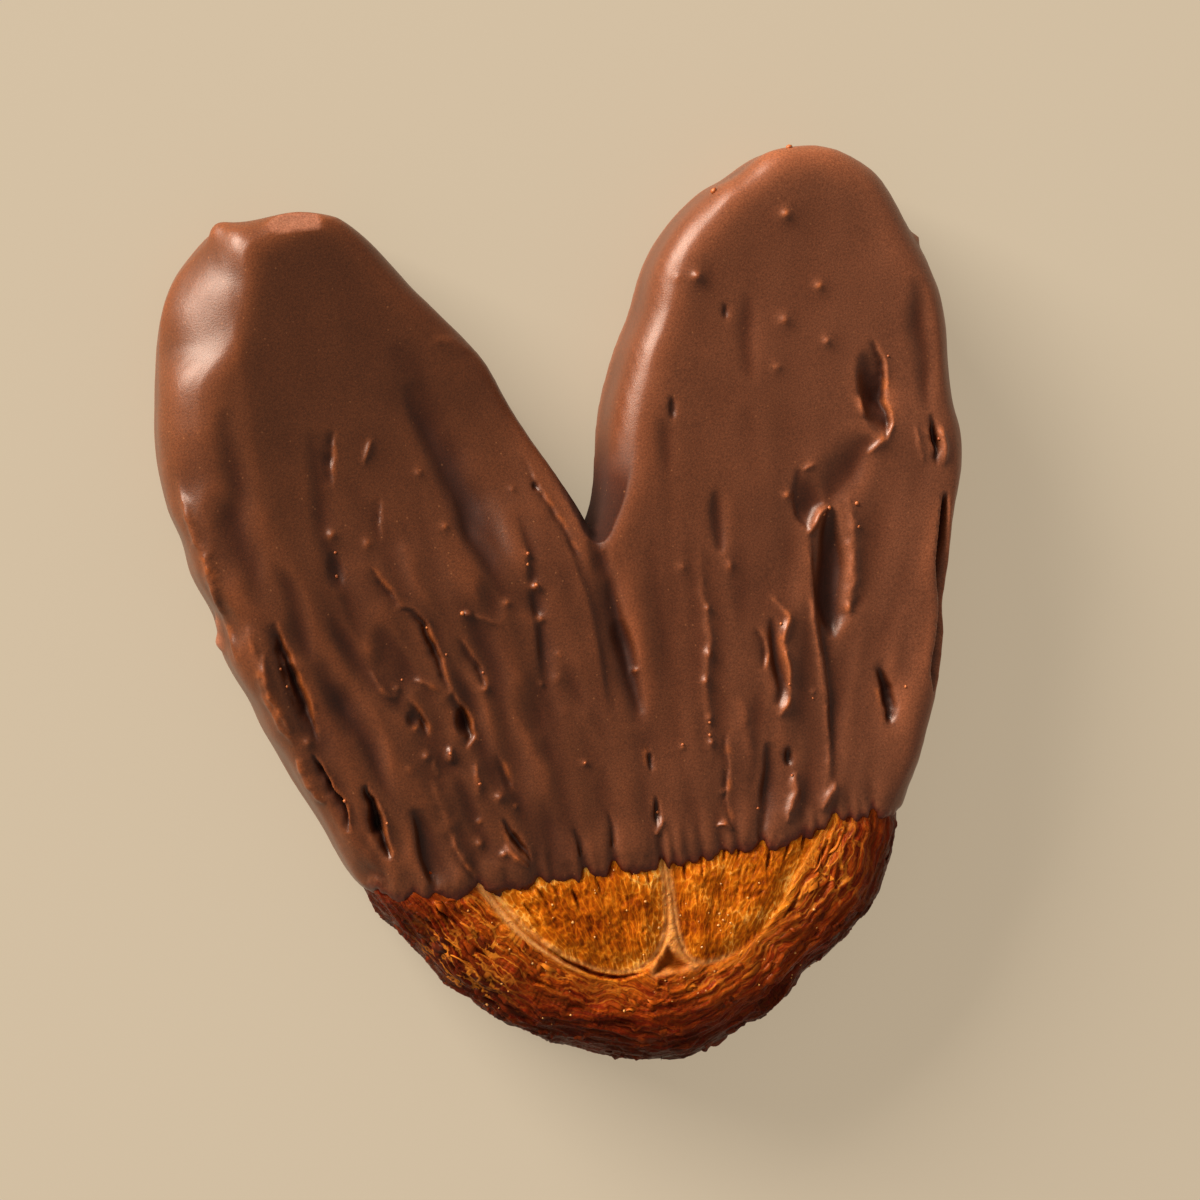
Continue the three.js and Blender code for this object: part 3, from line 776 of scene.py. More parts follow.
def makePastry(cfg):
    dip = formSet["dipY"]
    piece = pastryBlank(cfg)
    co = verts(piece)
    no = normals(piece)
    at = seenAt(co)
    x, y = at.T
    facing = smooth(0.05, 0.4, no @ towardEye)
    bare = dip + cfg["bareUp"]
    shown = smooth(bare, bare - 2.5, co[:, 1])

    fromEdge, along = distances(co)
    warp = fromEdge + 0.8 * lumps(co, 7, 1) + 0.5 * lumps(co, 2.6, 21) + 0.16 * lumps(co, 1.1, 22)
    leftOff = lineOffset(at, cfg["leftRoll"])[0]
    rightOff = -lineOffset(at, cfg["rightRoll"])[0]
    edge = np.minimum(np.abs(leftOff), np.abs(rightOff))
    roll = np.maximum(inside(leftOff), inside(rightOff))
    hole = holeAt(cfg["hole"], at, co)

    # pale edges: a band beside the left roll, thin rims, and the seam between the rolls
    band = np.exp(-(((leftOff + 0.55) / (0.17 + 0.24 * smooth(-10, -15, x))) ** 4))
    cream = band * smooth(-5, -9, x) * (y > 8)
    cream = np.maximum(cream, 0.75 * bell((leftOff - 0.35) / 0.26))
    cream = np.maximum(cream, 0.7 * bell((rightOff - 0.2) / 0.28) * smooth(14, 9, x))
    seamHere = (1 - roll) * smooth(6.2, 7.0, y) * smooth(3.4, 2.6, np.abs(x - 4.6))
    cream = np.maximum(cream, (0.55 + 0.35 * smooth(8, 11, y)) * seamHere)
    cream = cream * facing * (0.8 + 0.5 * lumps(withHeight(at, co[:, 2]), 1.3, 33))
    cream = np.clip(cream, 0, 1)

    # layers of the wrap, running round the base
    wrapFlow = np.column_stack([warp, along * 0.2, co[:, 2]])
    flake = 0.0
    for across, size, seed in cfg["layers"]:
        n = lumps(wrapFlow * (1 / across, 1 / (across * 0.9), 0.8 / across), 1, seed)
        flake = flake + size * (1 - 3.2 * np.abs(n))
    worn = 0.65 + 0.7 * lumps(co, 5, 12)
    nearSeam = smooth(11.5, 8.5, fromEdge)
    lift = (1 - roll) * (1 - cream) * flake * np.clip(worn, 0.25, 1.3) * (0.35 + 0.65 * nearSeam)

    # the rolls' layers stand on edge and fan out
    flatAt = withHeight(at)
    fan = np.arctan2(x - 2, y + 14)
    rollFlow = np.column_stack([fan * 30, y, np.zeros(len(at))])
    fibre = 0.0
    for wide, long, size, seed in cfg["fibres"]:
        fibre = fibre + size * (1 - 3 * np.abs(lumps(rollFlow * (1 / wide, 1 / long, 1), 1, seed)))
    pores = np.minimum(lumps(flatAt, 0.75, 9) + 0.12, 0) + 0.6 * np.minimum(lumps(flatAt, 0.42, 19) + 0.15, 0)
    upper = smooth(23, 19, y)
    lift += roll * facing * (0.8 * fibre * upper + 0.24 * pores + 0.28 * lumps(flatAt, 2.6, 23))
    crown = smooth(0, 3.0, edge)
    lift += roll * facing * (0.55 * crown - 0.2)
    for x0, y0, x1, y1 in cfg["slits"]:
        middle = ((x0 + x1) / 2 + 0.15, (y0 + y1) / 2)
        lift += stroke(at, "slit", [(x0, y0), middle, (x1, y1)], *cfg["slitSize"])[0] * facing
    seam = bell(leftOff / 0.3) * cfg["seamDepth"] * smooth(-13, -9, x)
    seam += bell(rightOff / 0.3) * cfg["seamDepth"] * smooth(13, 9, x)
    lift -= facing * (seam + cfg["holeDepth"] * hole)
    lift += stroke(at, "slit", cfg["gap"], *cfg["gapSize"])[0] * facing
    lift += 0.35 * lumps(co, 8, 3) + (1 - facing) * 0.45 * lumps(co, 3.5, 15)

    # nothing stands out under the chocolate
    above = co[:, 1] - dip - dipLine(at, chocolateSet)
    lift -= np.maximum(lift - 0.1, 0) * smooth(-0.7, 0.2, above)
    lift -= cfg["sink"] * smooth(0.2, 1.4, above)
    co += no * (lift * shown)[:, None]
    co[:, 2] = np.maximum(co[:, 2], cfg["lowest"])
    setVerts(piece, co)

    # what the colours follow: depth is how far from the dark rim, raised near the right flank's edge as
    # painted light and lowered further in, web is where golden strands show
    toRoll = np.where(roll > 0.5, 0, edge)
    depth = 7.2 * fromEdge / (fromEdge + toRoll + 0.01) + 0.45 * fromEdge
    paintedLightFlank = smooth(4, 22, x) * smooth(0, 3, fromEdge)
    depth += paintedLightFlank * (2.2 - 2.9 * smooth(3.5, 7.0, fromEdge) * smooth(0.3, 2.0, toRoll)) - 0.5
    pale = 0.13 * smooth(3.0, 0.4, edge) + 0.1 * smooth(14, 20, y) - 0.08 + 0.44 * lumps(flatAt, 3.2, 35)
    web = 0.0
    for x0, y0, wide, high, much in cfg["webs"]:
        web = web + much * np.exp(-(((x - x0) / wide) ** 2) - ((y - y0) / high) ** 2)
    web = web + 0.4 * smooth(5.5, 1.0, toRoll) * (1 - roll)
    web = np.clip(web * (1 + 0.8 * lumps(co, 2.6, 36)), 0, 1) * facing
    saveValues(piece, relief=relief(piece, co, cfg["reliefRounds"]), depth=depth, roll=roll, pale=pale)
    saveValues(piece, cream=cream * (1 - hole), shade=hole * facing, web=web)
    flow = np.where(roll[:, None] > 0.5, rollFlow * (1, 0.35, 1), wrapFlow)
    layer = piece.data.attributes.new("flow", "FLOAT_VECTOR", "POINT")
    layer.data.foreach_set("vector", flow.astype(np.float32).ravel())
    bpy.ops.object.shade_smooth()
    print("pastry made:", len(piece.data.polygons), "faces")
    return piece


# Materials


def shader(name):
    mat = bpy.data.materials.new(name)
    mat.use_nodes = True
    tree = mat.node_tree
    tree.nodes.clear()
    out = tree.nodes.new("ShaderNodeOutputMaterial")
    bsdf = tree.nodes.new("ShaderNodeBsdfPrincipled")
    tree.links.new(bsdf.outputs[0], out.inputs[0])
    return mat, tree, bsdf


def addNode(tree, kind, settings=None, **inputs):
    # an input is named, or i and its number, and is linked or set
    n = tree.nodes.new("ShaderNode" + kind)
    for key, value in (settings or {}).items():
        setattr(n, key, value)
    for key, value in inputs.items():
        socket = n.inputs[int(key[1:]) if key[1:].isdigit() else key]
        if isinstance(value, bpy.types.NodeSocket):
            tree.links.new(value, socket)
        else:
            socket.default_value = value
    return n


def srgb(r, g, b):
    parts = (r / 255, g / 255, b / 255)
    return tuple(c / 12.92 if c <= 0.04045 else ((c + 0.055) / 1.055) ** 2.4 for c in parts)


def ramp(tree, value, stops):
    n = addNode(tree, "ValToRGB", None, i0=value)
    while len(n.color_ramp.elements) < len(stops):
        n.color_ramp.elements.new(0.5)
    for e, (place, colour) in zip(n.color_ramp.elements, stops):
        e.position = place
        e.color = (*colour, 1)
    return n.outputs[0]


def colourRamp(tree, value, stops):
    return ramp(tree, value, [(place, srgb(*colour)) for place, colour in stops])


def mixColour(tree, factor, first, second, kind="MIX"):
    if not isinstance(second, bpy.types.NodeSocket):
        second = (*srgb(*second), 1)
    settings = {"data_type": "RGBA", "blend_type": kind}
    return addNode(tree, "Mix", settings, i0=factor, i6=first, i7=second).outputs[2]


def maths(tree, operation, first, second=0):
    return addNode(tree, "Math", {"operation": operation}, i0=first, i1=second).outputs[0]


def remap(tree, value, low, high, toLow=0.0, toHigh=1.0):
    sockets = {"From Min": low, "From Max": high, "To Min": toLow, "To Max": toHigh}
    return addNode(tree, "MapRange", None, Value=value, **sockets).outputs[0]


def addRange(tree, total, value, low, high, less, more):
    return maths(tree, "ADD", total, remap(tree, value, low, high, less, more))


def readValue(tree, name):
    return addNode(tree, "Attribute", {"attribute_name": name}).outputs["Fac"]


def objectPlace(tree):
    return addNode(tree, "TexCoord").outputs["Object"]


def noiseAt(tree, place, scale, detail, rough=0.5, result="Fac"):
    n = addNode(tree, "TexNoise", None, Vector=place, Scale=scale, Detail=detail, Roughness=rough)
    return n.outputs[result]


def cellEdges(tree, place, scale):
    n = addNode(tree, "TexVoronoi", {"feature": "DISTANCE_TO_EDGE"}, Vector=place, Scale=scale)
    return n.outputs["Distance"]


def midLines(tree, value, width, most):
    # thin lines where the noise crosses its middle
    away = maths(tree, "ABSOLUTE", maths(tree, "SUBTRACT", value, 0.5))
    return remap(tree, away, 0.0, width, most, 0.0)


def surface(tree, bsdf, colour, rough, height, strength, distance):
    tree.links.new(colour, bsdf.inputs["Base Color"])
    tree.links.new(rough, bsdf.inputs["Roughness"])
    bump = addNode(tree, "Bump", None, Strength=strength, Distance=distance * mm, Height=height)
    tree.links.new(bump.outputs[0], bsdf.inputs["Normal"])


def setInputs(bsdf, values):
    for name, value in values.items():
        bsdf.inputs[name].default_value = value


def shine(bsdf, specular, tint, through, radius, depth):
    # how it shines, and how far light goes in (mm)
    setInputs(bsdf, {
        "Specular IOR Level": specular,
        "Specular Tint": (*tint, 1),
        "Subsurface Weight": through,
        "Subsurface Radius": radius,
        "Subsurface Scale": depth * mm,
    })


chocolateLook = {
    "colours": [(0.0, (38, 11, 3)), (0.42, (90, 46, 26)), (0.62, (106, 59, 37)), (1.0, (134, 75, 47))],
    "hollow": (54, 17, 5),
    "deepestShade": (20, 6, 3),
    "crumb": (170, 92, 46),  # shows through the crests, plus a painted glint on crests and nub tops
    "chipAndHighlight": (182, 124, 112),
    "dipRim": (88, 26, 12),
    "speck": (176, 110, 66),
    "grain": [(0.3, (0.52, 0.48, 0.44)), (0.7, (1.4, 1.4, 1.38))],
    "paintedShadeLeftToRight": [
        (0.0, (0.71, 0.63, 0.44)), (0.3, (0.72, 0.64, 0.46)), (0.5, (0.85, 0.77, 0.62)),
        (1.0, (1.2, 1.2, 1.16)),
    ],
    "patches": [(0.3, (0.8, 0.76, 0.74)), (0.7, (1.15, 1.15, 1.15))],
}


def chocolateMaterial(look):
    mat, tree, bsdf = shader("milkChocolate")
    place = objectPlace(tree)
    hollow = readValue(tree, "hollow")
    grain = noiseAt(tree, place, 4600, 3, 0.6)
    patches = noiseAt(tree, place, 120, 3)
    # colour by relief: darker where sunk, lighter on crests, as painted shade and highlight
    colour = colourRamp(tree, remap(tree, readValue(tree, "relief"), -0.5, 0.35), look["colours"])
    # painted shade in hollows, deepest between the lobes
    colour = mixColour(tree, remap(tree, hollow, 0.0, 1.0, 0.0, 0.86), colour, look["hollow"])
    colour = mixColour(tree, remap(tree, hollow, 1.0, 1.6, 0.0, 0.9), colour, look["deepestShade"])
    # crumb colour with a painted glint on crests and nub tops
    colour = mixColour(tree, readValue(tree, "warm"), colour, look["crumb"])
    # pale broken tip with a painted highlight, and a painted highlight on the pale drips
    colour = mixColour(tree, maths(tree, "MULTIPLY", readValue(tree, "facet"), 0.7), colour, look["chipAndHighlight"])
    colour = mixColour(tree, readValue(tree, "dipRim"), colour, look["dipRim"])
    colour = mixColour(tree, 0.75, colour, ramp(tree, grain, look["grain"]), "MULTIPLY")
    # painted shade: darker towards the left lobe, lighter towards the right
    across = addNode(tree, "SeparateXYZ", None, Vector=place).outputs[0]
    tone = ramp(tree, remap(tree, across, -0.035, 0.045), look["paintedShadeLeftToRight"])
    colour = mixColour(tree, 1.0, colour, tone, "MULTIPLY")
    colour = mixColour(tree, 0.3, colour, ramp(tree, patches, look["patches"]), "MULTIPLY")
    cells = addNode(tree, "TexVoronoi", None, Vector=place, Scale=820)
    chosen = addNode(tree, "SeparateColor", None, Color=cells.outputs["Color"]).outputs[0]
    dots = remap(tree, cells.outputs["Distance"], 0.11, 0.06)
    specks = maths(tree, "MULTIPLY", dots, remap(tree, chosen, 0.45, 0.55))
    colour = mixColour(tree, maths(tree, "MULTIPLY", specks, 0.3), colour, look["speck"])
    # rougher where the painted shadow between the lobes lies
    rough = remap(tree, readValue(tree, "dull"), 0.0, 1.0, 0.38, 0.9)
    rough = addRange(tree, rough, hollow, 0.55, 1.1, 0.0, 0.3)
    rough = addRange(tree, rough, patches, 0.3, 0.7, -0.04, 0.04)
    surface(tree, bsdf, colour, rough, grain, 0.4, 0.06)
    shine(bsdf, 0.42, (1.0, 0.8, 0.68), 0.06, (1.0, 0.45, 0.25), 1.2)
    return mat


pastryLook = {
    "wrap": [
        (0.0, (60, 11, 4)), (0.2, (92, 20, 6)), (0.42, (122, 34, 7)), (0.64, (138, 49, 7)),
        (0.84, (182, 84, 12)), (1.0, (216, 124, 30)),
    ],
    "rolls": [
        (0.05, (116, 40, 2)), (0.35, (166, 76, 6)), (0.6, (190, 96, 9)), (0.82, (220, 126, 28)),
        (1.0, (246, 170, 74)),
    ],
    "crackShade": (52, 13, 4),
    "litLayerEdge": (206, 116, 30),
    "strand": (208, 120, 34),
    "cream": (230, 156, 84),
    # painted shade in the three-cornered hollow between the rolls
    "hole": (142, 66, 12),
}


def pastryMaterial(look):
    mat, tree, bsdf = shader("bakedPastry")
    place = objectPlace(tree)
    flow = addNode(tree, "Attribute", {"attribute_name": "flow"}).outputs["Vector"]

    def stretch(value, by, shift):
        kind = {"operation": "MULTIPLY_ADD"}
        return addNode(tree, "VectorMath", kind, i0=value, i1=by, i2=shift).outputs[0]

    relief = remap(tree, readValue(tree, "relief"), -0.45, 0.4)
    sway = stretch(noiseAt(tree, place, 420, 2, result="Color"), (1.1, 0.5, 1.1), flow)
    layered = addNode(tree, "VectorMath", {"operation": "MULTIPLY"}, i0=sway, i1=(2.6, 0.7, 2.2)).outputs[0]
    layers = noiseAt(tree, layered, 1.0, 4, 0.6)
    grain = noiseAt(tree, place, 1500, 4, 0.65)
    patches = noiseAt(tree, place, 160, 3)
    webs = remap(tree, cellEdges(tree, sway, 1.55), 0.0, 0.16, 1.0, 0.0)  # thin walls between the pores

    # the wrap: dark at the rim, with painted shade in the gaps between layers, a painted highlight on the
    # layer edges, and golden strands
    bake = addRange(tree, remap(tree, readValue(tree, "depth"), 0.3, 13.0), layers, 0.28, 0.72, -0.24, 0.2)
    # darker where sunk, lighter where raised: painted shade and highlight
    bake = addRange(tree, bake, relief, 0, 1, -0.28, 0.22)
    bake = addRange(tree, bake, patches, 0.3, 0.7, -0.14, 0.12)
    cracks = midLines(tree, noiseAt(tree, stretch(layered, (1.3, 1.2, 1.3), (37, 11, 5)), 1.0, 2), 0.04, 0.6)
    wrap = mixColour(tree, cracks, colourRamp(tree, bake, look["wrap"]), look["crackShade"])
    edges = midLines(tree, layers, 0.06, 1.0)
    lit = maths(tree, "MULTIPLY", edges, remap(tree, bake, 0.05, 0.8, 0.05, 0.24))
    wrap = mixColour(tree, lit, wrap, look["litLayerEdge"])
    pockets = cellEdges(tree, stretch(sway, (0.95, 1.1, 0.95), (5, 3, 9)), 1.0)
    strands = maths(tree, "MULTIPLY", remap(tree, pockets, 0.02, 0.1, 1.0, 0.0), readValue(tree, "web"))
    wrap = mixColour(tree, strands, wrap, look["strand"])

    # the rolls: golden, darker where sunk and paler where raised (painted shade and highlight), and paler on
    # pore walls
    tone = addRange(tree, remap(tree, relief, 0.0, 1.0, 0.22, 0.78), grain, 0.3, 0.7, -0.15, 0.15)
    tone = addRange(tree, tone, patches, 0.3, 0.7, -0.12, 0.12)
    tone = addRange(tree, tone, webs, 0.0, 1.0, -0.1, 0.24)
    tone = maths(tree, "ADD", tone, readValue(tree, "pale"))
    colour = mixColour(tree, readValue(tree, "roll"), wrap, colourRamp(tree, tone, look["rolls"]))
    colour = mixColour(tree, readValue(tree, "cream"), colour, look["cream"])
    # painted shade in the hollow between the rolls
    colour = mixColour(tree, readValue(tree, "shade"), colour, look["hole"])
    height = addRange(tree, maths(tree, "ADD", layers, grain), webs, 0.0, 1.0, 0.0, 0.25)
    height = addRange(tree, maths(tree, "ADD", height, strands), cracks, 0.0, 0.75, 0.0, -0.5)
    surface(tree, bsdf, colour, remap(tree, grain, 0.3, 0.7, 0.26, 0.42), height, 0.5, 0.2)
    shine(bsdf, 0.11, (1.0, 0.62, 0.36), 0.28, (1.0, 0.4, 0.1), 1.0)
    return mat


def flakeMaterial(look):
    mat, tree, bsdf = shader("bakedFlakes")
    grain = noiseAt(tree, objectPlace(tree), 500, 3)
    tone = addRange(tree, readValue(tree, "tone"), grain, 0.3, 0.7, -0.15, 0.15)
    rough = remap(tree, grain, 0.3, 0.7, 0.26, 0.4)
    surface(tree, bsdf, colourRamp(tree, tone, look), rough, grain, 0.3, 0.06)
    shine(bsdf, 0.16, (1.0, 0.62, 0.36), 0.15, (1.0, 0.45, 0.15), 0.8)
    return mat


def grainMaterial(name, light, dark, roughness, through):
    mat, tree, bsdf = shader(name)
    grain = noiseAt(tree, objectPlace(tree), 2600, 3)
    rough = remap(tree, grain, 0.3, 0.7, roughness - 0.05, roughness + 0.08)
    surface(tree, bsdf, colourRamp(tree, grain, [(0.35, dark), (0.65, light)]), rough, grain, 0.3, 0.05)
    shine(bsdf, 0.5, (1, 1, 1), through, (1.0, 0.6, 0.3), 0.5)
    return mat


def floorMaterial():
    mat, _, bsdf = shader("paleFloor")
    setInputs(bsdf, {
        "Base Color": (*srgb(140, 129, 113), 1),
        "Roughness": 0.9,
        "Specular IOR Level": 0.1,
        "Emission Color": (*srgb(216, 196, 166), 1),  # keeps the shadow pale
        "Emission Strength": 0.54,
    })
    return mat


# Small loose things, each kind joined in one piece


def onFace(piece):
    # finds the place on a piece that the camera sees at a mark, and its normal
    co = verts(piece)
    no = normals(piece)
    keep = no @ towardEye > 0.05
    co, no = co[keep], no[keep]
    tree = treeOf(withHeight(seenAt(co)))

    def find(x, y):
        i = tree.find((x, y, 0))[1]
        return co[i], no[i]

    return find


def joined(name, corners, faces, **values):
    mesh = bpy.data.meshes.new(name)
    mesh.from_pydata([tuple(c * mm) for c in corners], [], faces)
    piece = bpy.data.objects.new(name, mesh)
    bpy.context.collection.objects.link(piece)
    saveValues(piece, **values)
    faceOutwards(piece)
    bpy.ops.object.shade_smooth()
    return piece


def axesOn(normal, spin):
    n = Vector(normal).normalized()
    side = n.orthogonal().normalized()
    turned = Matrix.Rotation(spin, 3, n) @ side
    return np.array(turned), np.array(n.cross(turned)), np.array(n)


flakeSet = {
    "count": 170,
    "length": (1.6, 5.0),
    "width": (0.5, 1.2),
    "thick": 0.05,
    "climb": (-0.12, 0.12),
    "lean": (-88, -40),  # degrees from standing
    "steps": 10,
    "seed": 4,
    "colours": [(0.0, (52, 13, 5)), (0.35, (98, 32, 7)), (0.65, (148, 58, 8)), (1.0, (204, 112, 28))],
    "strandWidth": (0.3, 0.5),
    "strandLean": (-60, -10),
    "strandThick": 0.1,
    # a few larger golden strands, as the camera sees them
    "strands": [
        [(-23.6, 16.4), (-21.9, 15.3), (-20.6, 13.8), (-19.8, 13.2)],
        [(-22.4, 13.6), (-20.8, 12.9), (-19.6, 11.4), (-18.8, 10.9)],
        [(-19, 13.4), (-17.4, 12.1), (-16.4, 10), (-15.2, 9.2)],
        [(-20.4, 17), (-19, 16.2), (-18.2, 14.6)],
        [(27.4, 19.8), (26.2, 18.2), (24.8, 17.4)],
        [(24.4, 18.6), (23.8, 16.4), (22.8, 15.2)],
    ],
}


def ribbon(line, face, width, lean, wave, thick):
    # a thin wavy strip along the line, standing or lying on the surface
    for _ in range(4):
        line[1:-1] = (line[:-2] + 2 * line[1:-1] + line[2:]) / 4
        face[1:-1] = (face[:-2] + 2 * face[1:-1] + face[2:]) / 4
    steps = len(line) - 1
    corners = []
    for j in range(steps + 1):
        u = j / steps
        t = line[min(j + 1, steps)] - line[max(j - 1, 0)]
        t = t / max(np.linalg.norm(t), 1e-6)
        n = face[j] - t * (face[j] @ t)
        n = n / max(np.linalg.norm(n), 1e-6)
        out = np.cross(t, n)
        up = n * math.cos(lean) + out * math.sin(lean)
        thin = np.cross(t, up)
        half = 0.5 * width * (0.1 + 0.9 * math.sin(math.pi * u) ** 0.7) * (1 + 0.25 * math.sin(wave + 9 * u))
        sway = 0.08 * math.sin(wave + 6 * u) + 0.03 * steps * math.sin(2 * wave + 3 * u) * u * (1 - u)
        middle = line[j] + out * sway - n * 0.25 * abs(2 * u - 1) ** 3
        for a, b in ((-1, -1), (1, -1), (1, 1), (-1, 1)):
            corners.append(middle + up * half * a + thin * thick * b * (1.2 - 0.7 * (a > 0)))
    faces = [(3, 2, 1, 0)]
    for j in range(steps):
        for q in range(4):
            r = (q + 1) % 4
            faces.append((4 * j + q, 4 * j + r, 4 * j + 4 + r, 4 * j + 4 + q))
    end = 4 * steps
    faces.append((end, end + 1, end + 2, end + 3))
    return corners, faces


def makeFlakes(cfg, pastry):
    rng = random.Random(cfg["seed"])
    co = verts(pastry)
    no = normals(pastry)
    fromEdge, along = distances(co)
    roll = pull(pastry.data.attributes["roll"].data, "value")
    cream = pull(pastry.data.attributes["cream"].data, "value")
    good = (co[:, 1] < formSet["dipY"] - 0.5) & (co[:, 2] > 3) & (fromEdge < 9)
    good &= (roll < 0.1) & (cream < 0.1) & (no[:, 2] > -0.3)
    starts = np.where(good)[0]  # where a flake may lie
    tree = treeOf(co[starts])
    corners, faces, tones = [], [], []

    def put(line, face, width, lean, thick, tone):
        new, sides = ribbon(line, face, width, lean, rng.uniform(0, 6), thick)
        faces.extend(tuple(i + len(corners) for i in f) for f in sides)
        corners.extend(new)
        tones.extend([tone] * len(new))

    for _ in range(cfg["count"]):
        i = starts[rng.randrange(len(starts))]
        length = rng.uniform(*cfg["length"]) * rng.uniform(0.4, 1)
        width = rng.uniform(*cfg["width"])
        climb = rng.uniform(*cfg["climb"])
        lean = math.radians(rng.uniform(*cfg["lean"]))
        tone = min(1, max(0, fromEdge[i] / 12 + rng.uniform(-0.15, 0.2)))
        # the flake's line follows the layers over the surface
        path = []
        p = co[i]
        for _ in range(cfg["steps"] + 1):
            k = starts[tree.find(p)[1]]
            path.append(k)
            r = int(along[k] / formSet["step"]) % len(outline)
            run = outline[(r + 4) % len(outline), :2] - outline[(r - 4) % len(outline), :2]
            run = run / np.linalg.norm(run)
            p = co[k] + np.array([run[0], run[1], climb]) * length / cfg["steps"]
        put(co[path], no[path], width, lean, cfg["thick"], tone)
    find = onFace(pastry)
    for strand in cfg["strands"]:
        places = [find(x, y) for x, y in evenLine(strand, 0.45, False).tolist()]
        line = np.array([q[0] for q in places])
        face = np.array([q[1] for q in places])
        width = rng.uniform(*cfg["strandWidth"])
        lean = math.radians(rng.uniform(*cfg["strandLean"]))
        put(line + face * 0.05, face, width, lean, cfg["strandThick"], rng.uniform(0.7, 0.95))
    print("flakes made:", cfg["count"])
    return joined("flakes", corners, faces, tone=tones)


grainSet = {
    # places of the larger ones, and how many are strewn between
    "sugar": [
        (-9, 17.2), (5, 16), (6.2, 13.3), (3.3, 12.2), (-1, 19.9), (-12.2, 10.7), (-18.3, 6.9), (17, 11),
        (10.6, 11.3), (11.3, 11.9), (11.9, 12.4), (12.1, 11.4), (10.9, 12.7), (-18.9, 18.2), (2.2, 15.6),
        (-4.4, 12.4), (14.6, 14), (1, 9.4), (8.2, 9), (-6.8, 14.6), (-20.4, 8.6), (22.4, 11.2), (19.4, 6.4),
        (-2.2, 3.2),
    ],
    "strewn": 60,
    "largeSize": (0.13, 0.22),
    "strewnSize": (0.07, 0.15),
    # crumbs in the chocolate: x, y, size
    "crumb": [
        (22.2, 97.3, 0.5), (32, 101.2, 0.45), (34.4, 58.2, 0.3), (34.2, 55.6, 0.25), (-14.7, 52.6, 0.3),
        (-5.9, 58.4, 0.25), (-6.1, 57.2, 0.2), (-5.4, 54.6, 0.28), (31, 58.4, 0.3), (30.2, 57.8, 0.25),
        (12.7, 33.9, 0.22), (12.9, 35.4, 0.2), (-15.6, 32.6, 0.24), (-18.4, 36.6, 0.24), (-28.3, 62, 0.2),
        (-28.6, 59.2, 0.22), (23.1, 45.6, 0.22), (23.3, 38.4, 0.2), (45.6, 64.6, 0.25), (-36.6, 49.6, 0.2),
        (-36.1, 47.4, 0.2), (26, 36.4, 0.16), (9.2, 33.2, 0.2), (-2.6, 33, 0.2), (-13.2, 45.4, 0.18),
        (-31.4, 33.2, 0.24), (-27, 29.8, 0.2), (17.1, 24.4, 0.2), (22.1, 27.6, 0.2), (40.9, 75.2, 0.18),
        (-22.6, 46, 0.16), (-17.2, 48, 0.18), (-18.9, 51.6, 0.18), (5, 25.8, 0.22), (37.6, 36, 0.2),
    ],
    "rough": (0.75, 1.2),  # how far a grain's corners are in or out
    "flat": (0.6, 0.9),
    "up": 0.15,  # how far a grain's centre is out of the surface
    "seed": 9,
}


def lump(rng, centre, size, axes, rough, flat):
    # a small rough grain: a cube with its corners pushed about and its faces split
    a, b, n = axes
    shape = [Vector(c) for c in (
        (-1, -1, -1), (1, -1, -1), (1, 1, -1), (-1, 1, -1), (-1, -1, 1), (1, -1, 1), (1, 1, 1), (-1, 1, 1),
        (0, 0, -1.3), (0, 0, 1.3), (0, -1.3, 0), (1.3, 0, 0), (0, 1.3, 0), (-1.3, 0, 0),
    )]
    sides = (
        (3, 2, 1, 0, 8), (4, 5, 6, 7, 9), (0, 1, 5, 4, 10), (1, 2, 6, 5, 11), (2, 3, 7, 6, 12),
        (3, 0, 4, 7, 13),
    )
    corners = []
    for c in shape:
        c = c.normalized() * size * rng.uniform(*rough)
        corners.append(centre + a * c[0] + b * c[1] + n * c[2] * flat)
    faces = []
    for w, x, y, z, m in sides:
        faces += [(w, x, m), (x, y, m), (y, z, m), (z, w, m)]
    return corners, faces


def makeGrains(cfg, name, find, places):
    rng = random.Random(cfg["seed"])
    corners, faces = [], []
    for x, y, size in places:
        p, n = find(x, y)
        axes = axesOn(n, rng.uniform(0, 6))
        new, sides = lump(rng, p + n * size * cfg["up"], size, axes, cfg["rough"], rng.uniform(*cfg["flat"]))
        faces += [tuple(i + len(corners) for i in f) for f in sides]
        corners += new
    print(name, "made:", len(places))
    return joined(name, corners, faces)


def sugarPlaces(cfg):
    rng = random.Random(cfg["seed"])
    places = [(x, y, rng.uniform(*cfg["largeSize"])) for x, y in cfg["sugar"]]
    for _ in range(cfg["strewn"]):
        places.append((rng.uniform(-20, 24), rng.uniform(3, 20), rng.uniform(*cfg["strewnSize"])))
    return places


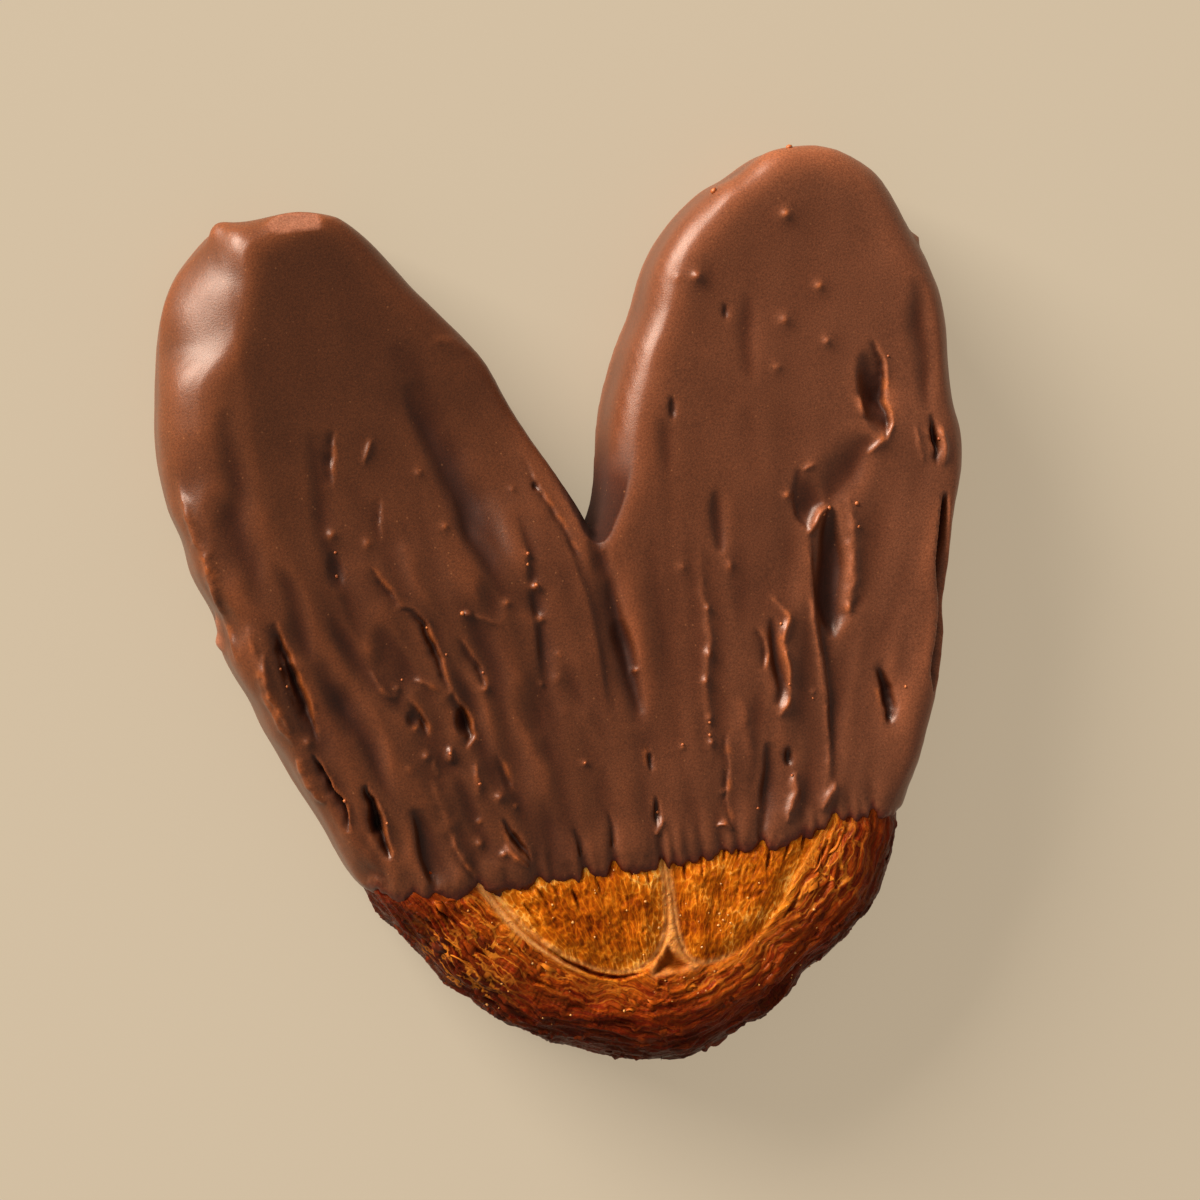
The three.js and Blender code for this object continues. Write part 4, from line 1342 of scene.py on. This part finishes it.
def finish(piece, material, node=None):
    piece.data.materials.clear()
    piece.data.materials.append(material)
    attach(piece, "root")
    if node:
        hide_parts(node)


chocolate = makeChocolate(chocolateSet)
finish(chocolate, chocolateMaterial(chocolateLook), "chocolate_coat")
pastry = makePastry(pastrySet)
finish(pastry, pastryMaterial(pastryLook), "pastry")
flakes = makeFlakes(flakeSet, pastry)
finish(flakes, flakeMaterial(flakeSet["colours"]))
sugar = makeGrains(grainSet, "sugarCrystals", onFace(pastry), sugarPlaces(grainSet))
finish(sugar, grainMaterial("sugar", (232, 166, 90), (206, 130, 60), 0.16, 0.3))
crumbs = makeGrains(grainSet, "crumbs", onFace(chocolate), grainSet["crumb"])
finish(crumbs, grainMaterial("crumb", (182, 100, 42), (148, 70, 26), 0.45, 0.2))

# Floor and light

stageSet = {
    "keyFrom": (-0.80, 0.72, 0.50),  # left, up and towards the camera, as the camera sees it
    "keySize": 1.5,
    "keyPower": 195,
    "keyColour": (1.0, 0.96, 0.9),
    "reach": 2.5,
    "roomColour": (1.0, 0.94, 0.87, 1),
    "roomPower": 0.36,
    "floorSize": 4,
    "floorBelow": 0.05 * mm,
}


def makeStage(cfg):
    bpy.ops.object.select_all(action="DESELECT")
    bpy.ops.mesh.primitive_plane_add(size=cfg["floorSize"], location=(0, 0, -cfg["floorBelow"]))
    floor = startObject("floor")
    floor.data.materials.append(floorMaterial())
    x, y, z = cfg["keyFrom"]
    toward = (viewRight * x + viewUp * y + viewBack * z).normalized()
    bpy.ops.object.light_add(type="AREA", location=toward * cfg["reach"])
    key = bpy.context.object
    key.name = "keyLight"
    key.rotation_euler = toward.to_track_quat("Z", "Y").to_euler()
    key.data.size = cfg["keySize"]
    key.data.energy = cfg["keyPower"]
    key.data.color = cfg["keyColour"]
    world = bpy.data.worlds.new("softRoom")
    bpy.context.scene.world = world
    world.use_nodes = True
    room = world.node_tree.nodes["Background"]
    room.inputs[0].default_value = cfg["roomColour"]
    room.inputs[1].default_value = cfg["roomPower"]
    bpy.context.scene.view_settings.view_transform = "Standard"
    print("stage made")


makeStage(stageSet)
